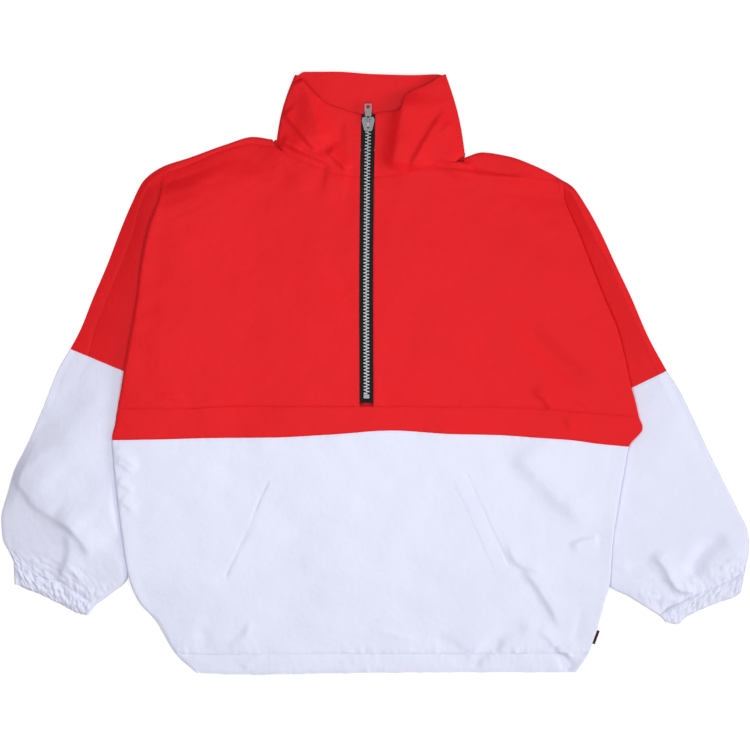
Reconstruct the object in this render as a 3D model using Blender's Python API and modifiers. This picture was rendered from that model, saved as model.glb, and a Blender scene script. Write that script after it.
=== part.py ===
"""Half-zip pullover windbreaker, lying flat on its back, sleeves at its sides.

The garment is a kimono cut. The red fronts and the red back run out into the sleeve tops, and meet in a
seam that lies on the front, because the back wraps over the shoulders. Each sleeve hangs more steeply
than it was cut, so the front makes a pleat: the body's cloth folds back under itself along the side and
comes out again as the sleeve's front. Below the sleeve seam the same fold goes on as a tuck to the hem,
and its inner edge meets the back on the ground.

Axes: +X to the garment's left as it is seen from above, +Y towards the collar, +Z up from the ground.
Tables are in millimetres and the model is in metres. In every table a row is one section.
"""

import math

import bmesh
import bpy
import numpy as np
from mathutils import Matrix

NAME = "half_zip_windbreaker"
MM = 0.001

# ---------------------------------------------------------------- sizes, millimetres
WALL = 1.0  # wall of a single cloth
COLLAR_WALL = 1.6  # the stand collar is two layers
GAP = 0.34  # between two pieces at a seam
SEAM_GAP = 0.8  # between the front's panels, whose edges bend round the folds
BAND_GAP = 0.8  # more at the band's upper edge, whose two sides have unlike columns
FOOT_GAP = 0.7  # between a tuck's foot and the back
BACK_COLUMNS = 9
COLUMNS = 18  # of the panels across the whole front
GROUND = WALL / 2  # mid-height of cloth lying on the ground
LAP_RISE = 2.4  # height that a lapped fold gains
FRONT_Z = 8.4  # mid-height of the front, with the air under it
HEM_Z = 4.0  # mid-height of the front at the hem's seam
SLEEVE_Z = GROUND + LAP_RISE  # mid-height of a sleeve's front along its edges
TUCK_Z = 8.8  # mid-height of the tuck where it crosses the sleeve
SLEEVE_UP = {-1: 6.4, 1: SLEEVE_Z}  # mid-height of the red sleeve where it comes out from under the body
FOLD_RISE = {-1: (6.6, 4.2, 2.6), 1: (3.6, 2.2, 5.0)}  # height from the tuck to the front: at the red sleeve, below, at the hem
FOLD_DEEP = {-1: (3.0, 2.0), 1: (1.2, 1.2)}  # how far the rounding of the fold reaches in plan, likewise
ARM_LEAN = {-1: 1.2, 1: 0.0}  # how far the sleeve's front bulges between the body and the overarm seam
NECK_Z = {  # mid-height of the cloth along the rows of NECK
    -1: (8.4, 8.4, 8.4, 7.6, 5.8, 4.4),
    1: (8.4, 8.4, 8.4, 8.4, 8.0, 7.6),
}
ARM_Z = {  # mid-height of the cloth along the rows of SEAM
    -1: (4.4, 4.4, 4.4, 4.8, 5.6, 5.2, 4.6, 4.2, 4.0, 4.0, 4.0, 4.0),
    1: (7.6, 9.2, 10.2, 11.0, 11.4, 11.6, 12.0, 12.2, 12.2, 12.2, 12.0, 11.6),
}
ARM_EDGE = {-1: 2.1, 1: 11.0}  # height of the cloth where it starts to turn under at the garment's edge
ARM_DEEP = {-1: 3.0, 1: 1.6}  # how far that turn reaches in plan
SLEEVE_SIDES = {-1: (2.4, 7.0), 1: (7.2, 3.2)}  # height of a white sleeve at its outer and inner side
PUFF = 0.8  # share of the table's puff
UNDER_TUCK = 7.1  # highest that a sleeve may lie under the body
SLOPE = 6.0  # length of the ramp from the tuck down to the back's edge
EDGE_CLEAR = 4.0  # the front stays high this far past the tuck
EDGE_DIP = 0.8  # and comes down this much over it
EDGE_FALL = 130.0  # width over which it then comes down to the back
HEM_FALL = {-1: 130.0, 1: 62.0}  # and at the hem
ZIP_HALF = 8.4  # half the width of tape that shows
CHAIN_HALF = 3.95
CENTRE = (0.1, 0.21)  # middle of the garment's plan, taken off every point

# ---------------------------------------------------------------- tables
# The zip's centre line, from the tapes' top ends to their lower ends.
ZIP = (  # y, x
    (310.8, -7.9),
    (291.6, -8.3),
    (231.6, -9.6),
    (87.6, -10.6),
    (-30.0, -10.2),
    (-36.0, -10.2),
)

# Neck seam of each front, from the zip to the shoulder seam.
NECK = {
    -1: (  # x, y
        (-18.0, 235.2),
        (-41.4, 238.2),
        (-65.4, 245.4),
        (-91.8, 255.6),
        (-108.6, 264.6),
        (-119.4, 271.8),
    ),
    1: (
        (-1.2, 235.2),
        (21.0, 237.6),
        (41.4, 242.4),
        (61.8, 248.4),
        (82.2, 253.8),
        (106.2, 253.2),
    ),
}

# Shoulder and overarm: the seam that lies on the front, and the garment's edge beside it.
SEAM = {
    -1: (  # seam_x, seam_y, edge_x, edge_y
        (-119.4, 271.8, -123.0, 280.8),
        (-147.0, 275.4, -147.0, 284.0),
        (-179.4, 268.8, -180.6, 274.4),
        (-219.0, 252.0, -221.4, 259.6),
        (-252.6, 239.4, -256.2, 247.8),
        (-269.4, 226.8, -277.8, 231.6),
        (-281.4, 202.8, -292.8, 202.8),
        (-289.2, 172.8, -306.0, 171.6),
        (-304.2, 132.0, -321.0, 132.0),
        (-319.8, 91.2, -338.4, 91.2),
        (-335.4, 52.2, -354.0, 52.2),
        (-343.8, 20.4, -366.0, 29.4),
    ),
    1: (
        (106.2, 253.2, 108.0, 259.2),
        (129.0, 244.8, 129.0, 265.2),
        (162.6, 237.6, 160.2, 260.4),
        (196.2, 233.2, 192.6, 248.4),
        (220.5, 230.0, 222.6, 233.3),
        (231.0, 222.0, 236.4, 224.4),
        (244.2, 199.2, 254.4, 198.6),
        (261.0, 166.8, 271.8, 166.8),
        (279.0, 133.2, 288.0, 131.4),
        (298.2, 91.2, 307.2, 91.2),
        (318.6, 45.6, 327.0, 45.0),
        (339.0, -1.8, 349.4, 3.6),
    ),
}
SHOULDER_END = 4  # the row of SEAM where the pleat starts: row 0 of SIDE is on it

# The body's folded side, from the shoulder seam to the hem's corner. tuck is how far the cloth runs
# back under the edge, and lift is how high that tuck is carried: 1 where it crosses the sleeve.
SIDE = {
    -1: (  # edge_x, edge_y, tuck, lift
        (-252.6, 239.4, 0.0, 0.00),
        (-258.6, 210.0, 3.6, 0.70),
        (-271.8, 174.0, 11.0, 0.90),
        (-280.2, 132.0, 16.0, 1.00),
        (-285.6, 88.8, 18.0, 1.00),
        (-293.4, 44.4, 20.0, 1.00),
        (-300.8, 2.6, 21.0, 1.00),
        (-304.8, -21.6, 21.5, 1.00),
        (-308.4, -42.0, 23.0, 1.00),
        (-311.4, -61.2, 25.0, 1.00),
        (-315.0, -79.8, 27.0, 1.00),
        (-313.2, -108.0, 25.0, 1.00),
        (-308.4, -152.4, 21.5, 1.00),
        (-303.0, -194.4, 18.0, 1.00),
        (-295.8, -241.2, 12.0, 0.90),
        (-283.8, -272.4, 7.0, 0.45),
        (-263.4, -296.4, 5.0, 0.10),
        (-240.0, -335.4, 3.5, 0.00),
        (-214.2, -359.4, 3.5, 0.00),
    ),
    1: (
        (220.5, 230.0, 0.0, 0.00),
        (228.6, 204.0, 3.6, 0.70),
        (244.2, 168.0, 11.0, 0.90),
        (258.6, 130.8, 15.0, 1.00),
        (274.2, 91.2, 17.0, 1.00),
        (291.6, 49.2, 18.0, 1.00),
        (307.3, -17.5, 18.0, 1.00),
        (312.0, -33.6, 20.5, 1.00),
        (316.2, -52.2, 25.0, 1.00),
        (320.4, -66.0, 29.5, 1.00),
        (304.2, -87.6, 17.0, 1.00),
        (299.4, -111.6, 15.0, 1.00),
        (292.2, -152.4, 14.0, 1.00),
        (284.4, -206.4, 12.0, 1.00),
        (281.4, -250.8, 10.0, 0.90),
        (275.4, -272.4, 7.0, 0.45),
        (268.8, -298.8, 5.0, 0.10),
        (256.2, -335.4, 3.5, 0.00),
        (241.2, -358.2, 3.5, 0.00),
    ),
}
SLEEVE_SEAM, BAND_SEAM, BORDER_SEAM, HEM_SEAM, HEM_EDGE = 6, 8, 10, 17, 18  # rows of SIDE
LOWER_ROWS = (10, 10.5, 11, 12, 13, 14, 15, 16, 17)  # where the white panels have one
WELT_GAP = 0.55  # between a welt and the panel under it
FRONT_ROWS = (0, 0.5, 1, 1.5, 2, 3, 4, 5, 6, 6.4, 7, 8)  # where the red fronts have a section

# Seams across the front.
BAND_TOP = (  # x, y
    (-308.4, -42.0),
    (-238.2, -42.6),
    (-168.6, -39.4),
    (-90.6, -39.6),
    (-10.2, -39.6),
    (66.6, -40.0),
    (150.6, -40.8),
    (219.0, -44.4),
    (257.4, -47.4),
    (316.2, -52.2),
)
BORDER = (  # x, y
    (-315.0, -79.8),
    (-269.4, -79.2),
    (-197.4, -77.4),
    (-125.4, -76.8),
    (-53.4, -73.2),
    (18.6, -68.4),
    (90.6, -72.6),
    (144.6, -73.8),
    (198.6, -77.4),
    (234.6, -79.8),
    (270.6, -84.6),
    (304.2, -87.6),
)
HEM_TOP = (  # x, y
    (-240.0, -335.4),
    (-197.4, -337.2),
    (-137.4, -336.6),
    (119.4, -336.0),
    (186.6, -336.0),
    (256.2, -335.4),
)
HEM_END = (  # x, y
    (-214.2, -359.4),
    (-161.4, -361.6),
    (-35.4, -360.0),
    (72.6, -358.8),
    (180.6, -358.8),
    (241.2, -358.2),
)

# White sleeves, from the red seam to the cuff's seam. puff is how far the front rises between its edges.
SLEEVE = {
    -1: (  # outer_x, outer_y, inner_x, inner_y, puff
        (-366.0, 29.4, -283.2, -4.6, 0.0),
        (-379.8, 6.0, -285.0, -32.4, 1.0),
        (-399.0, -42.0, -289.8, -68.4, 1.8),
        (-417.0, -84.0, -292.2, -104.4, 2.6),
        (-433.8, -117.6, -292.2, -142.8, 3.2),
        (-441.0, -142.8, -291.0, -176.4, 3.6),
        (-448.8, -174.0, -292.2, -212.4, 4.0),
        (-447.0, -198.0, -296.4, -244.8, 4.2),
        (-439.8, -213.0, -315.0, -262.8, 3.2),
        (-433.8, -225.6, -335.4, -277.8, 1.2),
    ),
    1: (
        (349.4, 3.6, 292.6, -24.8, 0.0),
        (363.0, -16.8, 293.4, -54.0, 1.0),
        (381.0, -52.8, 294.6, -80.4, 1.8),
        (399.0, -91.2, 288.6, -116.4, 2.6),
        (417.0, -127.2, 280.2, -158.4, 3.2),
        (435.0, -163.2, 277.5, -194.4, 3.6),
        (446.4, -187.2, 276.5, -224.4, 4.0),
        (449.0, -206.4, 279.0, -252.0, 4.2),
        (448.2, -219.6, 306.6, -268.8, 3.2),
        (445.8, -229.2, 341.4, -290.4, 1.2),
    ),
}

# Cuffs, from the outer side to the inner: the gathered seam and the free edge.
CUFF = {
    -1: (  # seam_x, seam_y, end_x, end_y
        (-433.8, -225.6, -432.6, -253.2),
        (-425.4, -236.4, -417.0, -259.2),
        (-411.0, -243.6, -401.4, -265.2),
        (-394.2, -247.2, -387.0, -272.4),
        (-377.4, -250.8, -375.0, -278.4),
        (-360.6, -261.6, -361.8, -285.6),
        (-346.2, -272.4, -353.4, -288.6),
        (-335.4, -277.8, -345.0, -290.4),
    ),
    1: (
        (445.8, -229.2, 439.8, -261.6),
        (438.6, -240.0, 432.6, -268.8),
        (425.4, -248.4, 417.0, -273.6),
        (409.8, -255.6, 401.4, -279.6),
        (394.2, -262.8, 387.0, -285.6),
        (378.6, -270.0, 373.8, -292.2),
        (359.4, -279.6, 363.0, -301.2),
        (341.4, -290.4, 349.8, -298.8),
    ),
}
CUFF_BACK = (7, 5, 2, 0)  # the rows of CUFF that the flat underside uses
RING_STEPS = 12  # across the front of a sleeve and its cuff
SLEEVE_STEPS = 16  # along it

# Stand collar, round from the zip's one side to the other: the neck seam and the top edge.
COLLAR = (  # foot_x, foot_y, foot_z, top_x, top_y, top_z
    (-18.0, 235.6, 8.4, -16.6, 309.6, 8.4),
    (-41.4, 238.6, 8.4, -35.4, 315.0, 9.6),
    (-65.4, 245.9, 8.4, -59.4, 324.0, 11.4),
    (-91.8, 256.1, 7.8, -75.0, 337.8, 11.4),
    (-108.6, 265.2, 6.0, -87.0, 351.0, 10.0),
    (-117.5, 278.4, 2.8, -95.4, 357.6, 6.6),
    (-108.6, 276.0, 0.8, -85.2, 361.8, 6.0),
    (-65.4, 271.2, 0.8, -47.4, 361.7, 8.6),
    (-10.2, 268.8, 0.8, -3.0, 358.8, 9.0),
    (45.0, 268.8, 0.8, 45.0, 357.6, 8.6),
    (90.6, 266.4, 0.8, 73.8, 358.8, 6.4),
    (107.2, 262.0, 4.2, 84.0, 358.2, 9.4),
    (94.0, 254.6, 8.0, 64.2, 346.8, 12.6),
    (82.2, 254.3, 8.4, 36.0, 331.8, 12.0),
    (61.8, 248.9, 8.4, 30.6, 315.6, 11.0),
    (41.4, 242.9, 8.4, 18.6, 313.2, 9.6),
    (21.0, 238.1, 8.4, 8.0, 312.8, 8.8),
    (-1.2, 235.6, 8.4, 0.4, 310.8, 8.4),
)
COLLAR_BACK = (6, 7, 8, 9, 10)  # its rows whose foot meets the back
COLLAR_FOLDS = (5, 11)  # its rows on the folds
COLLAR_FOLD_IN = 1.8
COLLAR_BOW = 3.5  # how far the folds bow outward between foot and top

# The largest folds of the cloth on the front: a ridge where rise is above 0 and a trough where it is below.
FOLDS = (  # x0, y0, x1, y1, width, rise
    (-429.0, -132.0, -341.4, -217.2, 11.0, -2.4),
    (-373.8, -195.6, -382.2, -246.0, 7.0, -1.4),
    (411.0, -198.0, 382.0, -256.0, 12.0, -2.4),
    (330.6, -216.0, 386.0, -262.0, 8.0, -1.5),
    (168.0, -98.0, 258.6, -188.4, 22.0, 1.6),
    (186.0, -232.0, 226.2, -300.0, 12.0, -1.1),
    (181.8, -296.0, 130.0, -322.0, 11.0, -1.1),
    (171.0, 66.0, 246.0, -8.0, 15.0, -1.0),
    (-149.4, 252.0, -92.0, 226.0, 14.0, -0.8),
)

# Pocket welts: the open edge and the stitched edge, each from its top to its lower end.
WELT = {
    -1: ((-126.6, -128.4, -179.4, -245.4), (-111.6, -135.4, -163.6, -252.4)),  # x0, y0, x1, y1
    1: ((109.2, -120.6, 160.2, -232.8), (94.2, -127.4, 144.6, -239.8)),
}

LABEL = ((266.4, -307.8), (260.4, -324.0))  # x, y: the folded label's two ends on the right side seam
LABEL_OUT = 3.2

# Zip hardware, relative to the slider's middle in plan and to the chain's mid-height.
SLIDER_Y = 298.8
PLATE = (  # x, y: half the outline of the slider's plates
    (4.6, -8.0),
    (7.5, 3.0),
    (7.5, 6.0),
    (6.2, 8.2),
)
TOP_PLATE = (1.4, 2.6)  # low, high
LOW_PLATE = (-2.25, -1.4)
POST = (3.2, 2.0, 6.6)  # width, y from, y to
HINGE = (5.5, 3.85)  # y, z of the pull's bar
BAIL_OUT = ((-6.0, 2.2), (-3.4, 3.9), (1.6, 4.8), (4.4, 5.8), (7.0, 5.8), (8.2, 5.0), (8.2, 2.2))  # y, z
BAIL_IN = ((6.8, 2.2), (6.6, 4.85), (4.6, 4.85), (2.4, 3.8), (-0.4, 2.2))
BAIL_WIDTH = 2.4
PULL_BAR_R = 0.65
PULL_ARM = (1.6, 3.0, 4.4)  # inner x, outer x, length from the bar
PULL_TAB = (4.2, 3.6, 18.6)  # half width, from, to, measured from the bar
PULL_THICK = 1.2
PULL_HOLE = (2.1, 13.0, 17.0)  # half width, from, to
CHAIN_HALF_Z = 1.1
CHAIN_Y = (-24.6, 297.6)
STOP_Y = (-29.8, -25.0)
TAPE_Y = (-36.0, 310.6)

RED = (0.79, 0.02, 0.03, 1.0)
WHITE = (0.83, 0.84, 0.92, 1.0)
BLACK = (0.02, 0.02, 0.022, 1.0)
STEEL = (0.55, 0.56, 0.57, 1.0)
MAROON = (0.06, 0.01, 0.015, 1.0)


# ---------------------------------------------------------------- curves through the tables
def curve(ts, vs, t):
    """Monotone cubic through (ts, vs), so that it never swings past a row of its table."""
    ts, vs = np.asarray(ts, float), np.asarray(vs, float)
    t = np.clip(np.asarray(t, float), ts[0], ts[-1])
    h = np.diff(ts)
    d = np.diff(vs) / h
    m = np.empty(len(ts))
    same = d[:-1] * d[1:] > 0
    m[1:-1] = np.where(same, 2 * d[:-1] * d[1:] / np.where(same, d[:-1] + d[1:], 1), 0)
    m[0], m[-1] = d[0], d[-1]
    i = np.clip(np.searchsorted(ts, t, side="right") - 1, 0, len(h) - 1)
    s = (t - ts[i]) / h[i]
    return (
        vs[i] * (1 + 2 * s) * (1 - s) ** 2
        + h[i] * m[i] * s * (1 - s) ** 2
        + vs[i + 1] * s * s * (3 - 2 * s)
        + h[i] * m[i + 1] * s * s * (s - 1)
    )


def at_row(rows, k, column):
    return float(curve(range(len(rows)), [row[column] for row in rows], k))


def at_x(rows, x):
    return float(curve([row[0] for row in rows], [row[1] for row in rows], x))


def ease(t):
    t = min(max(t, 0.0), 1.0)
    return t * t * (3 - 2 * t)


def mix(a, b, t):
    return a + (b - a) * t


def folded(x, y):
    """How far the largest folds lift the front at a point."""
    rise = 0.0
    for x0, y0, x1, y1, width, height in FOLDS:
        along, off = np.array([x1 - x0, y1 - y0]), np.array([x - x0, y - y0])
        t = min(max(float(along @ off) / float(along @ along), 0.0), 1.0)
        apart = float(np.linalg.norm(off - t * along)) / width
        rise += height * math.exp(-apart * apart) * (0.55 + 0.45 * math.sin(math.pi * t))
    return rise


def zip_x(y):
    rows = ZIP[::-1]
    return float(curve([row[0] for row in rows], [row[1] for row in rows], y))


# ---------------------------------------------------------------- the body's folded side
def edge(side, j):
    return np.array([at_row(SIDE[side], j, 0), at_row(SIDE[side], j, 1)])


def seam(side, k):
    return np.array([at_row(SEAM[side], k, 0), at_row(SEAM[side], k, 1)])


def outline(side, k):
    return np.array([at_row(SEAM[side], k, 2), at_row(SEAM[side], k, 3)])


def outward(side, j):
    """Unit vector in plan along a section of the side, pointing away from the body."""
    level = np.array([float(side), 0.0])
    if j > SLEEVE_SEAM + 2:
        return level
    k = min(j, SLEEVE_SEAM)
    across = seam(side, k + SHOULDER_END + 1) - edge(side, k)
    across /= np.linalg.norm(across)
    across = mix(across, level, ease((j - SLEEVE_SEAM) / 2))
    return across / np.linalg.norm(across)


def levels(side, j):
    """Mid-heights of the sleeve's front or the ground, the tuck, and the folded edge above it."""
    low = SLEEVE_UP[side] if j <= SLEEVE_SEAM else GROUND
    tuck_z = mix(low, TUCK_Z, at_row(SIDE[side], j, 3))
    rise = mix(*FOLD_RISE[side][:2], ease((j - SLEEVE_SEAM + 1) / 3))
    rise = mix(rise, FOLD_RISE[side][2], ease((j - 13.5) / 2))
    return low, tuck_z, tuck_z + rise * min(1.0, 0.8 * j)


def arm_z(side, k):
    """Mid-height of the cloth along the shoulder and overarm seam."""
    return curve(range(len(ARM_Z[side])), ARM_Z[side], k)


def bends(side, j):
    """How far the fold's and the valley's roundings reach in plan."""
    low, tuck_z, _ = levels(side, j)
    deep = mix(*FOLD_DEEP[side], ease((j - SLEEVE_SEAM + 1) / 3))
    return min(deep, 0.5 + 0.35 * at_row(SIDE[side], j, 2)), min(1.4, (tuck_z - low) / 2)


def side_section(side, j, to_sleeve):
    """The section from the folded edge on: (distance outward from the edge, mid-height) pairs."""
    low, tuck_z, top = levels(side, j)
    tuck = at_row(SIDE[side], j, 2)
    (deep, hollow), inset = bends(side, j), WALL / 2
    section = [(-inset - deep, top), (-inset, (top + tuck_z) / 2), (-inset - deep, tuck_z)]
    if to_sleeve:
        section += [(-tuck + hollow, tuck_z), (-tuck, (tuck_z + low) / 2), (-tuck + hollow, low)]
    else:
        section += [(-tuck + 1.0, tuck_z), (-tuck - SLOPE / 2, (tuck_z + low) / 2), (-tuck - SLOPE, low)]
    return section


def sleeve_columns(side, j, count=3):
    """From the pleat's valley out to the overarm seam."""
    start = -at_row(SIDE[side], j, 2) + bends(side, j)[1]
    reach = np.linalg.norm(seam(side, j + SHOULDER_END + 1) - edge(side, j))
    return [(out, sleeve_height(side, j, out, reach)) for out in np.linspace(start, reach, count + 1)[1:]]


def sleeve_height(side, j, out, reach):
    """Mid-height of the sleeve's front at a distance out from the body's edge."""
    t = min(1.0, max(0.0, (out + 4.0) / (reach + 4.0)))
    z = mix(levels(side, j)[0], arm_z(side, j + SHOULDER_END + 1), t**0.85)
    return z + ARM_LEAN[side] * math.sin(math.pi * t)


def placed(side, j, section):
    e, out = edge(side, j), outward(side, j)
    return [(*(e + w * out), z) for w, z in section]


def side_points(side, j):
    """The side's points at row j: folded edge, then the sleeve's front or the ramp to the ground."""
    if j > SLEEVE_SEAM:
        return placed(side, j, side_section(side, j, False))
    folded = side_section(side, j, True) + sleeve_columns(side, j)
    points = placed(side, j, folded)
    if j < 1:
        # On the shoulder seam there is no pleat yet, and the cloth runs straight on to the sleeve.
        a, b = edge(side, j), seam(side, j + SHOULDER_END + 1)
        weight = ease(j)
        for i, p in enumerate(points):
            t = i / (len(points) - 1)
            flat = (*mix(a, b, t), mix(arm_z(side, SHOULDER_END), arm_z(side, SHOULDER_END + 1 + j), t))
            points[i] = tuple(mix(np.array(flat), np.array(p), weight))
    return points


def clear_of_tuck(side, j):
    """How far inward from the folded edge the front has to stay above the tuck."""
    return at_row(SIDE[side], j, 2) + EDGE_CLEAR


def smooth_tops(side):
    """y and height of the body's edge, smoothed along it, for the cloth well inside the edge."""
    js = np.linspace(0, HEM_EDGE, 400)
    ys = np.array([edge(side, j)[1] for j in js])
    tops = np.array([levels(side, j)[2] for j in js])
    at = np.arange(-400.0, 300.0, 4.0)
    near = np.exp(-0.5 * ((at[:, None] - ys[None]) / 30.0) ** 2) * np.abs(np.gradient(ys))[None]
    return at, (near * tops[None]).sum(1) / near.sum(1)


SMOOTH_TOPS = {side: smooth_tops(side) for side in (-1, 1)}


def front_height(side, j, distance, top, rest=FRONT_Z):
    """Mid-height of the front at a distance inward from its folded edge."""
    clear = clear_of_tuck(side, j)
    shoulder = max(top - EDGE_DIP, min(top, rest))
    smooth = float(np.interp(edge(side, j)[1], *SMOOTH_TOPS[side])) - EDGE_DIP
    above = float(np.logaddexp(2 * shoulder, 2 * smooth) / 2) - 0.34
    shoulder = mix(shoulder, max(shoulder, above), ease((j - 1) / 2))
    if distance < clear:
        return mix(top, shoulder, ease(distance / clear))
    fall = mix(EDGE_FALL, HEM_FALL[side], ease((j - 13) / 2))
    return mix(shoulder, rest, ease((distance - clear) / fall))


# ---------------------------------------------------------------- building
def clear_scene():
    for obj in list(bpy.data.objects):
        bpy.data.objects.remove(obj, do_unlink=True)


def collection(name):
    made = bpy.data.collections.new(name)
    bpy.context.scene.collection.children.link(made)
    return made


def material(name, colour, roughness, metallic=0.0):
    made = bpy.data.materials.new(name)
    made.use_nodes = True
    shader = made.node_tree.nodes["Principled BSDF"]
    shader.inputs["Base Color"].default_value = colour
    shader.inputs["Roughness"].default_value = roughness
    shader.inputs["Metallic"].default_value = metallic
    made.diffuse_color = colour
    return made


def metres(point):
    return ((point[0] - CENTRE[0]) * MM, (point[1] - CENTRE[1]) * MM, point[2] * MM)


def new_object(name, bm, finish, smooth=True):
    mesh = bpy.data.meshes.new(name)
    bm.to_mesh(mesh)
    bm.free()
    mesh.materials.append(finish)
    if smooth:
        mesh.shade_smooth()
    obj = bpy.data.objects.new(name, mesh)
    parts.objects.link(obj)
    return obj


def thicken(obj, wall=WALL):
    shell = obj.modifiers.new("wall", "SOLIDIFY")
    shell.thickness = wall * MM
    shell.offset = 0.0
    shell.use_even_offset = False
    return obj


def sheet(name, rows, finish, wall=WALL, closed=False):
    """Cloth through rows of points. A row may be shorter than the one before: its cloth stops there."""
    bm = bmesh.new()
    width = max(len(row) for row in rows)
    bmesh.ops.create_grid(bm, x_segments=width - (0 if closed else 1), y_segments=len(rows) - 1, size=1.0)
    bm.verts.ensure_lookup_table()
    columns = width + (1 if closed else 0)
    drop = []
    for i, row in enumerate(rows):
        for c in range(columns):
            v = bm.verts[i * columns + c]
            if c % width < len(row) or closed:
                v.co = metres(row[c % width])
            else:
                drop.append(v)
    bmesh.ops.delete(bm, geom=drop, context="VERTS")
    if closed:
        bmesh.ops.remove_doubles(bm, verts=bm.verts, dist=1e-6)
    bmesh.ops.recalc_face_normals(bm, faces=bm.faces)
    return thicken(new_object(name, bm, finish), wall)


def halved(points, longest=30.0):
    """The same line, with a point more in each long stretch."""
    out = [points[0]]
    for a, b in zip(points, points[1:]):
        if abs(b[0] - a[0]) > longest:
            out.append(((a[0] + b[0]) / 2, (a[1] + b[1]) / 2))
        out.append(b)
    return out


def front_upper(side, name):
    """One red front: body, pleat and the front of the sleeve top."""
    neck = NECK[side]
    tops = halved(list(neck) + [row[:2] for row in SEAM[side][1 : SHOULDER_END + 1]])
    (x0, y0), (x1, y1) = tops[0], tops[-1]
    band_y = at_x(BAND_TOP, zip_x(-39) + side * ZIP_HALF) + SEAM_GAP / 2
    e0, e8 = edge(side, 0), edge(side, BAND_SEAM)
    rows = FRONT_ROWS
    top_heights = [(row[0], z) for row, z in zip(neck, NECK_Z[side])]
    top_heights += [(row[0], z) for row, z in list(zip(SEAM[side], ARM_Z[side]))[1 : SHOULDER_END + 1]]
    grid = []
    for j in rows:
        e = edge(side, j)
        top = levels(side, j)[2]
        f = (e[1] - e0[1]) / (e8[1] - e0[1])
        yz = mix(y0, band_y, f)
        xz = zip_x(yz) + side * ZIP_HALF
        shares = [(x - x0) / (x1 - x0) for x, _ in tops[:-1]]
        shares.append(1 - clear_of_tuck(side, j) / abs(e[0] - xz))
        points = []
        for u in sorted(shares):
            x = mix(xz, e[0], u)
            tx = mix(x0, x1, u)
            ty = float(np.interp(side * tx, [side * p[0] for p in tops], [p[1] for p in tops]))
            low_y = at_x(BAND_TOP, x) + SEAM_GAP / 2
            y = mix(yz, e[1], u)
            y += (1 - f) * (ty - mix(y0, y1, u))
            y += f * (low_y - mix(band_y, e8[1] + SEAM_GAP / 2, u))
            at_top = float(np.interp(side * tx, [side * x for x, _ in top_heights], [z for _, z in top_heights]))
            rest = mix(at_top, FRONT_Z, 1 - max(0.0, 1 - f / 0.15) ** 1.8)
            z = front_height(side, j, abs(e[0] - x), max(top, rest), rest)
            points.append((x, y, z + folded(x, y)))
        shift = SEAM_GAP / 2 if j == BAND_SEAM else 0.0
        grid.append(points + [(x, y + shift, z) for x, y, z in side_points(side, j)])
    # The last columns are the sleeve's front above the sleeve seam, and the ramp to the ground below it.
    shared = len(points) + 4
    bm = bmesh.new()
    verts = [[bm.verts.new(metres(p)) for p in row] for row in grid]
    for i in range(len(rows) - 1):
        count = min(len(verts[i]), len(verts[i + 1]))
        if rows[i] <= SLEEVE_SEAM < rows[i + 1]:
            count = shared
        for c in range(count - 1):
            bm.faces.new([verts[i][c], verts[i + 1][c], verts[i + 1][c + 1], verts[i][c + 1]])
    bmesh.ops.recalc_face_normals(bm, faces=bm.faces)
    return thicken(new_object(name, bm, red_cloth))


def lap(side, k):
    """The back's cloth where it wraps over the garment's edge, from the seam on the front to the ground."""
    s, o = seam(side, k), outline(side, k)
    # The gap is wider beside the start of the pleat, where the front's cloth twists.
    stop = SEAM_GAP + 0.7 * math.exp(-(((k - SHOULDER_END - 0.5) / 1.5) ** 2))
    n = (o - s) / np.linalg.norm(o - s)
    high, low = lap_heights(side, k)
    room = float(np.linalg.norm(o - s))
    inner = o - (WALL / 2 + min((low - GROUND) / 2, 0.6 * room, ARM_DEEP[side])) * n
    outer = o - WALL / 2 * n
    return [
        (*(s + stop * n), high),
        (*inner, low),
        (*outer, mix(low, GROUND, 0.3)),
        (*outer, mix(low, GROUND, 0.7)),
        (*inner, GROUND),
    ]


def lap_heights(side, k):
    """Mid-heights of the lapped cloth at the seam and where it starts to turn under."""
    high = arm_z(side, k)
    room = float(np.linalg.norm(outline(side, k) - seam(side, k)))
    low = mix(high, min(high, ARM_EDGE[side]), ease((k - 2.5) / 3))
    return high, min(low, GROUND + 1.5 * room)


def tuck_foot(side, j, more=0.0):
    """Where the tuck's ramp reaches the ground."""
    e, out = edge(side, j), outward(side, j)
    return tuple(e + (-at_row(SIDE[side], j, 2) - SLOPE - more) * out)


def line_across(rows, x0, x1, count, shift):
    return [(x, at_x(rows, x) + shift) for x in np.linspace(x0, x1, count)]


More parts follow.
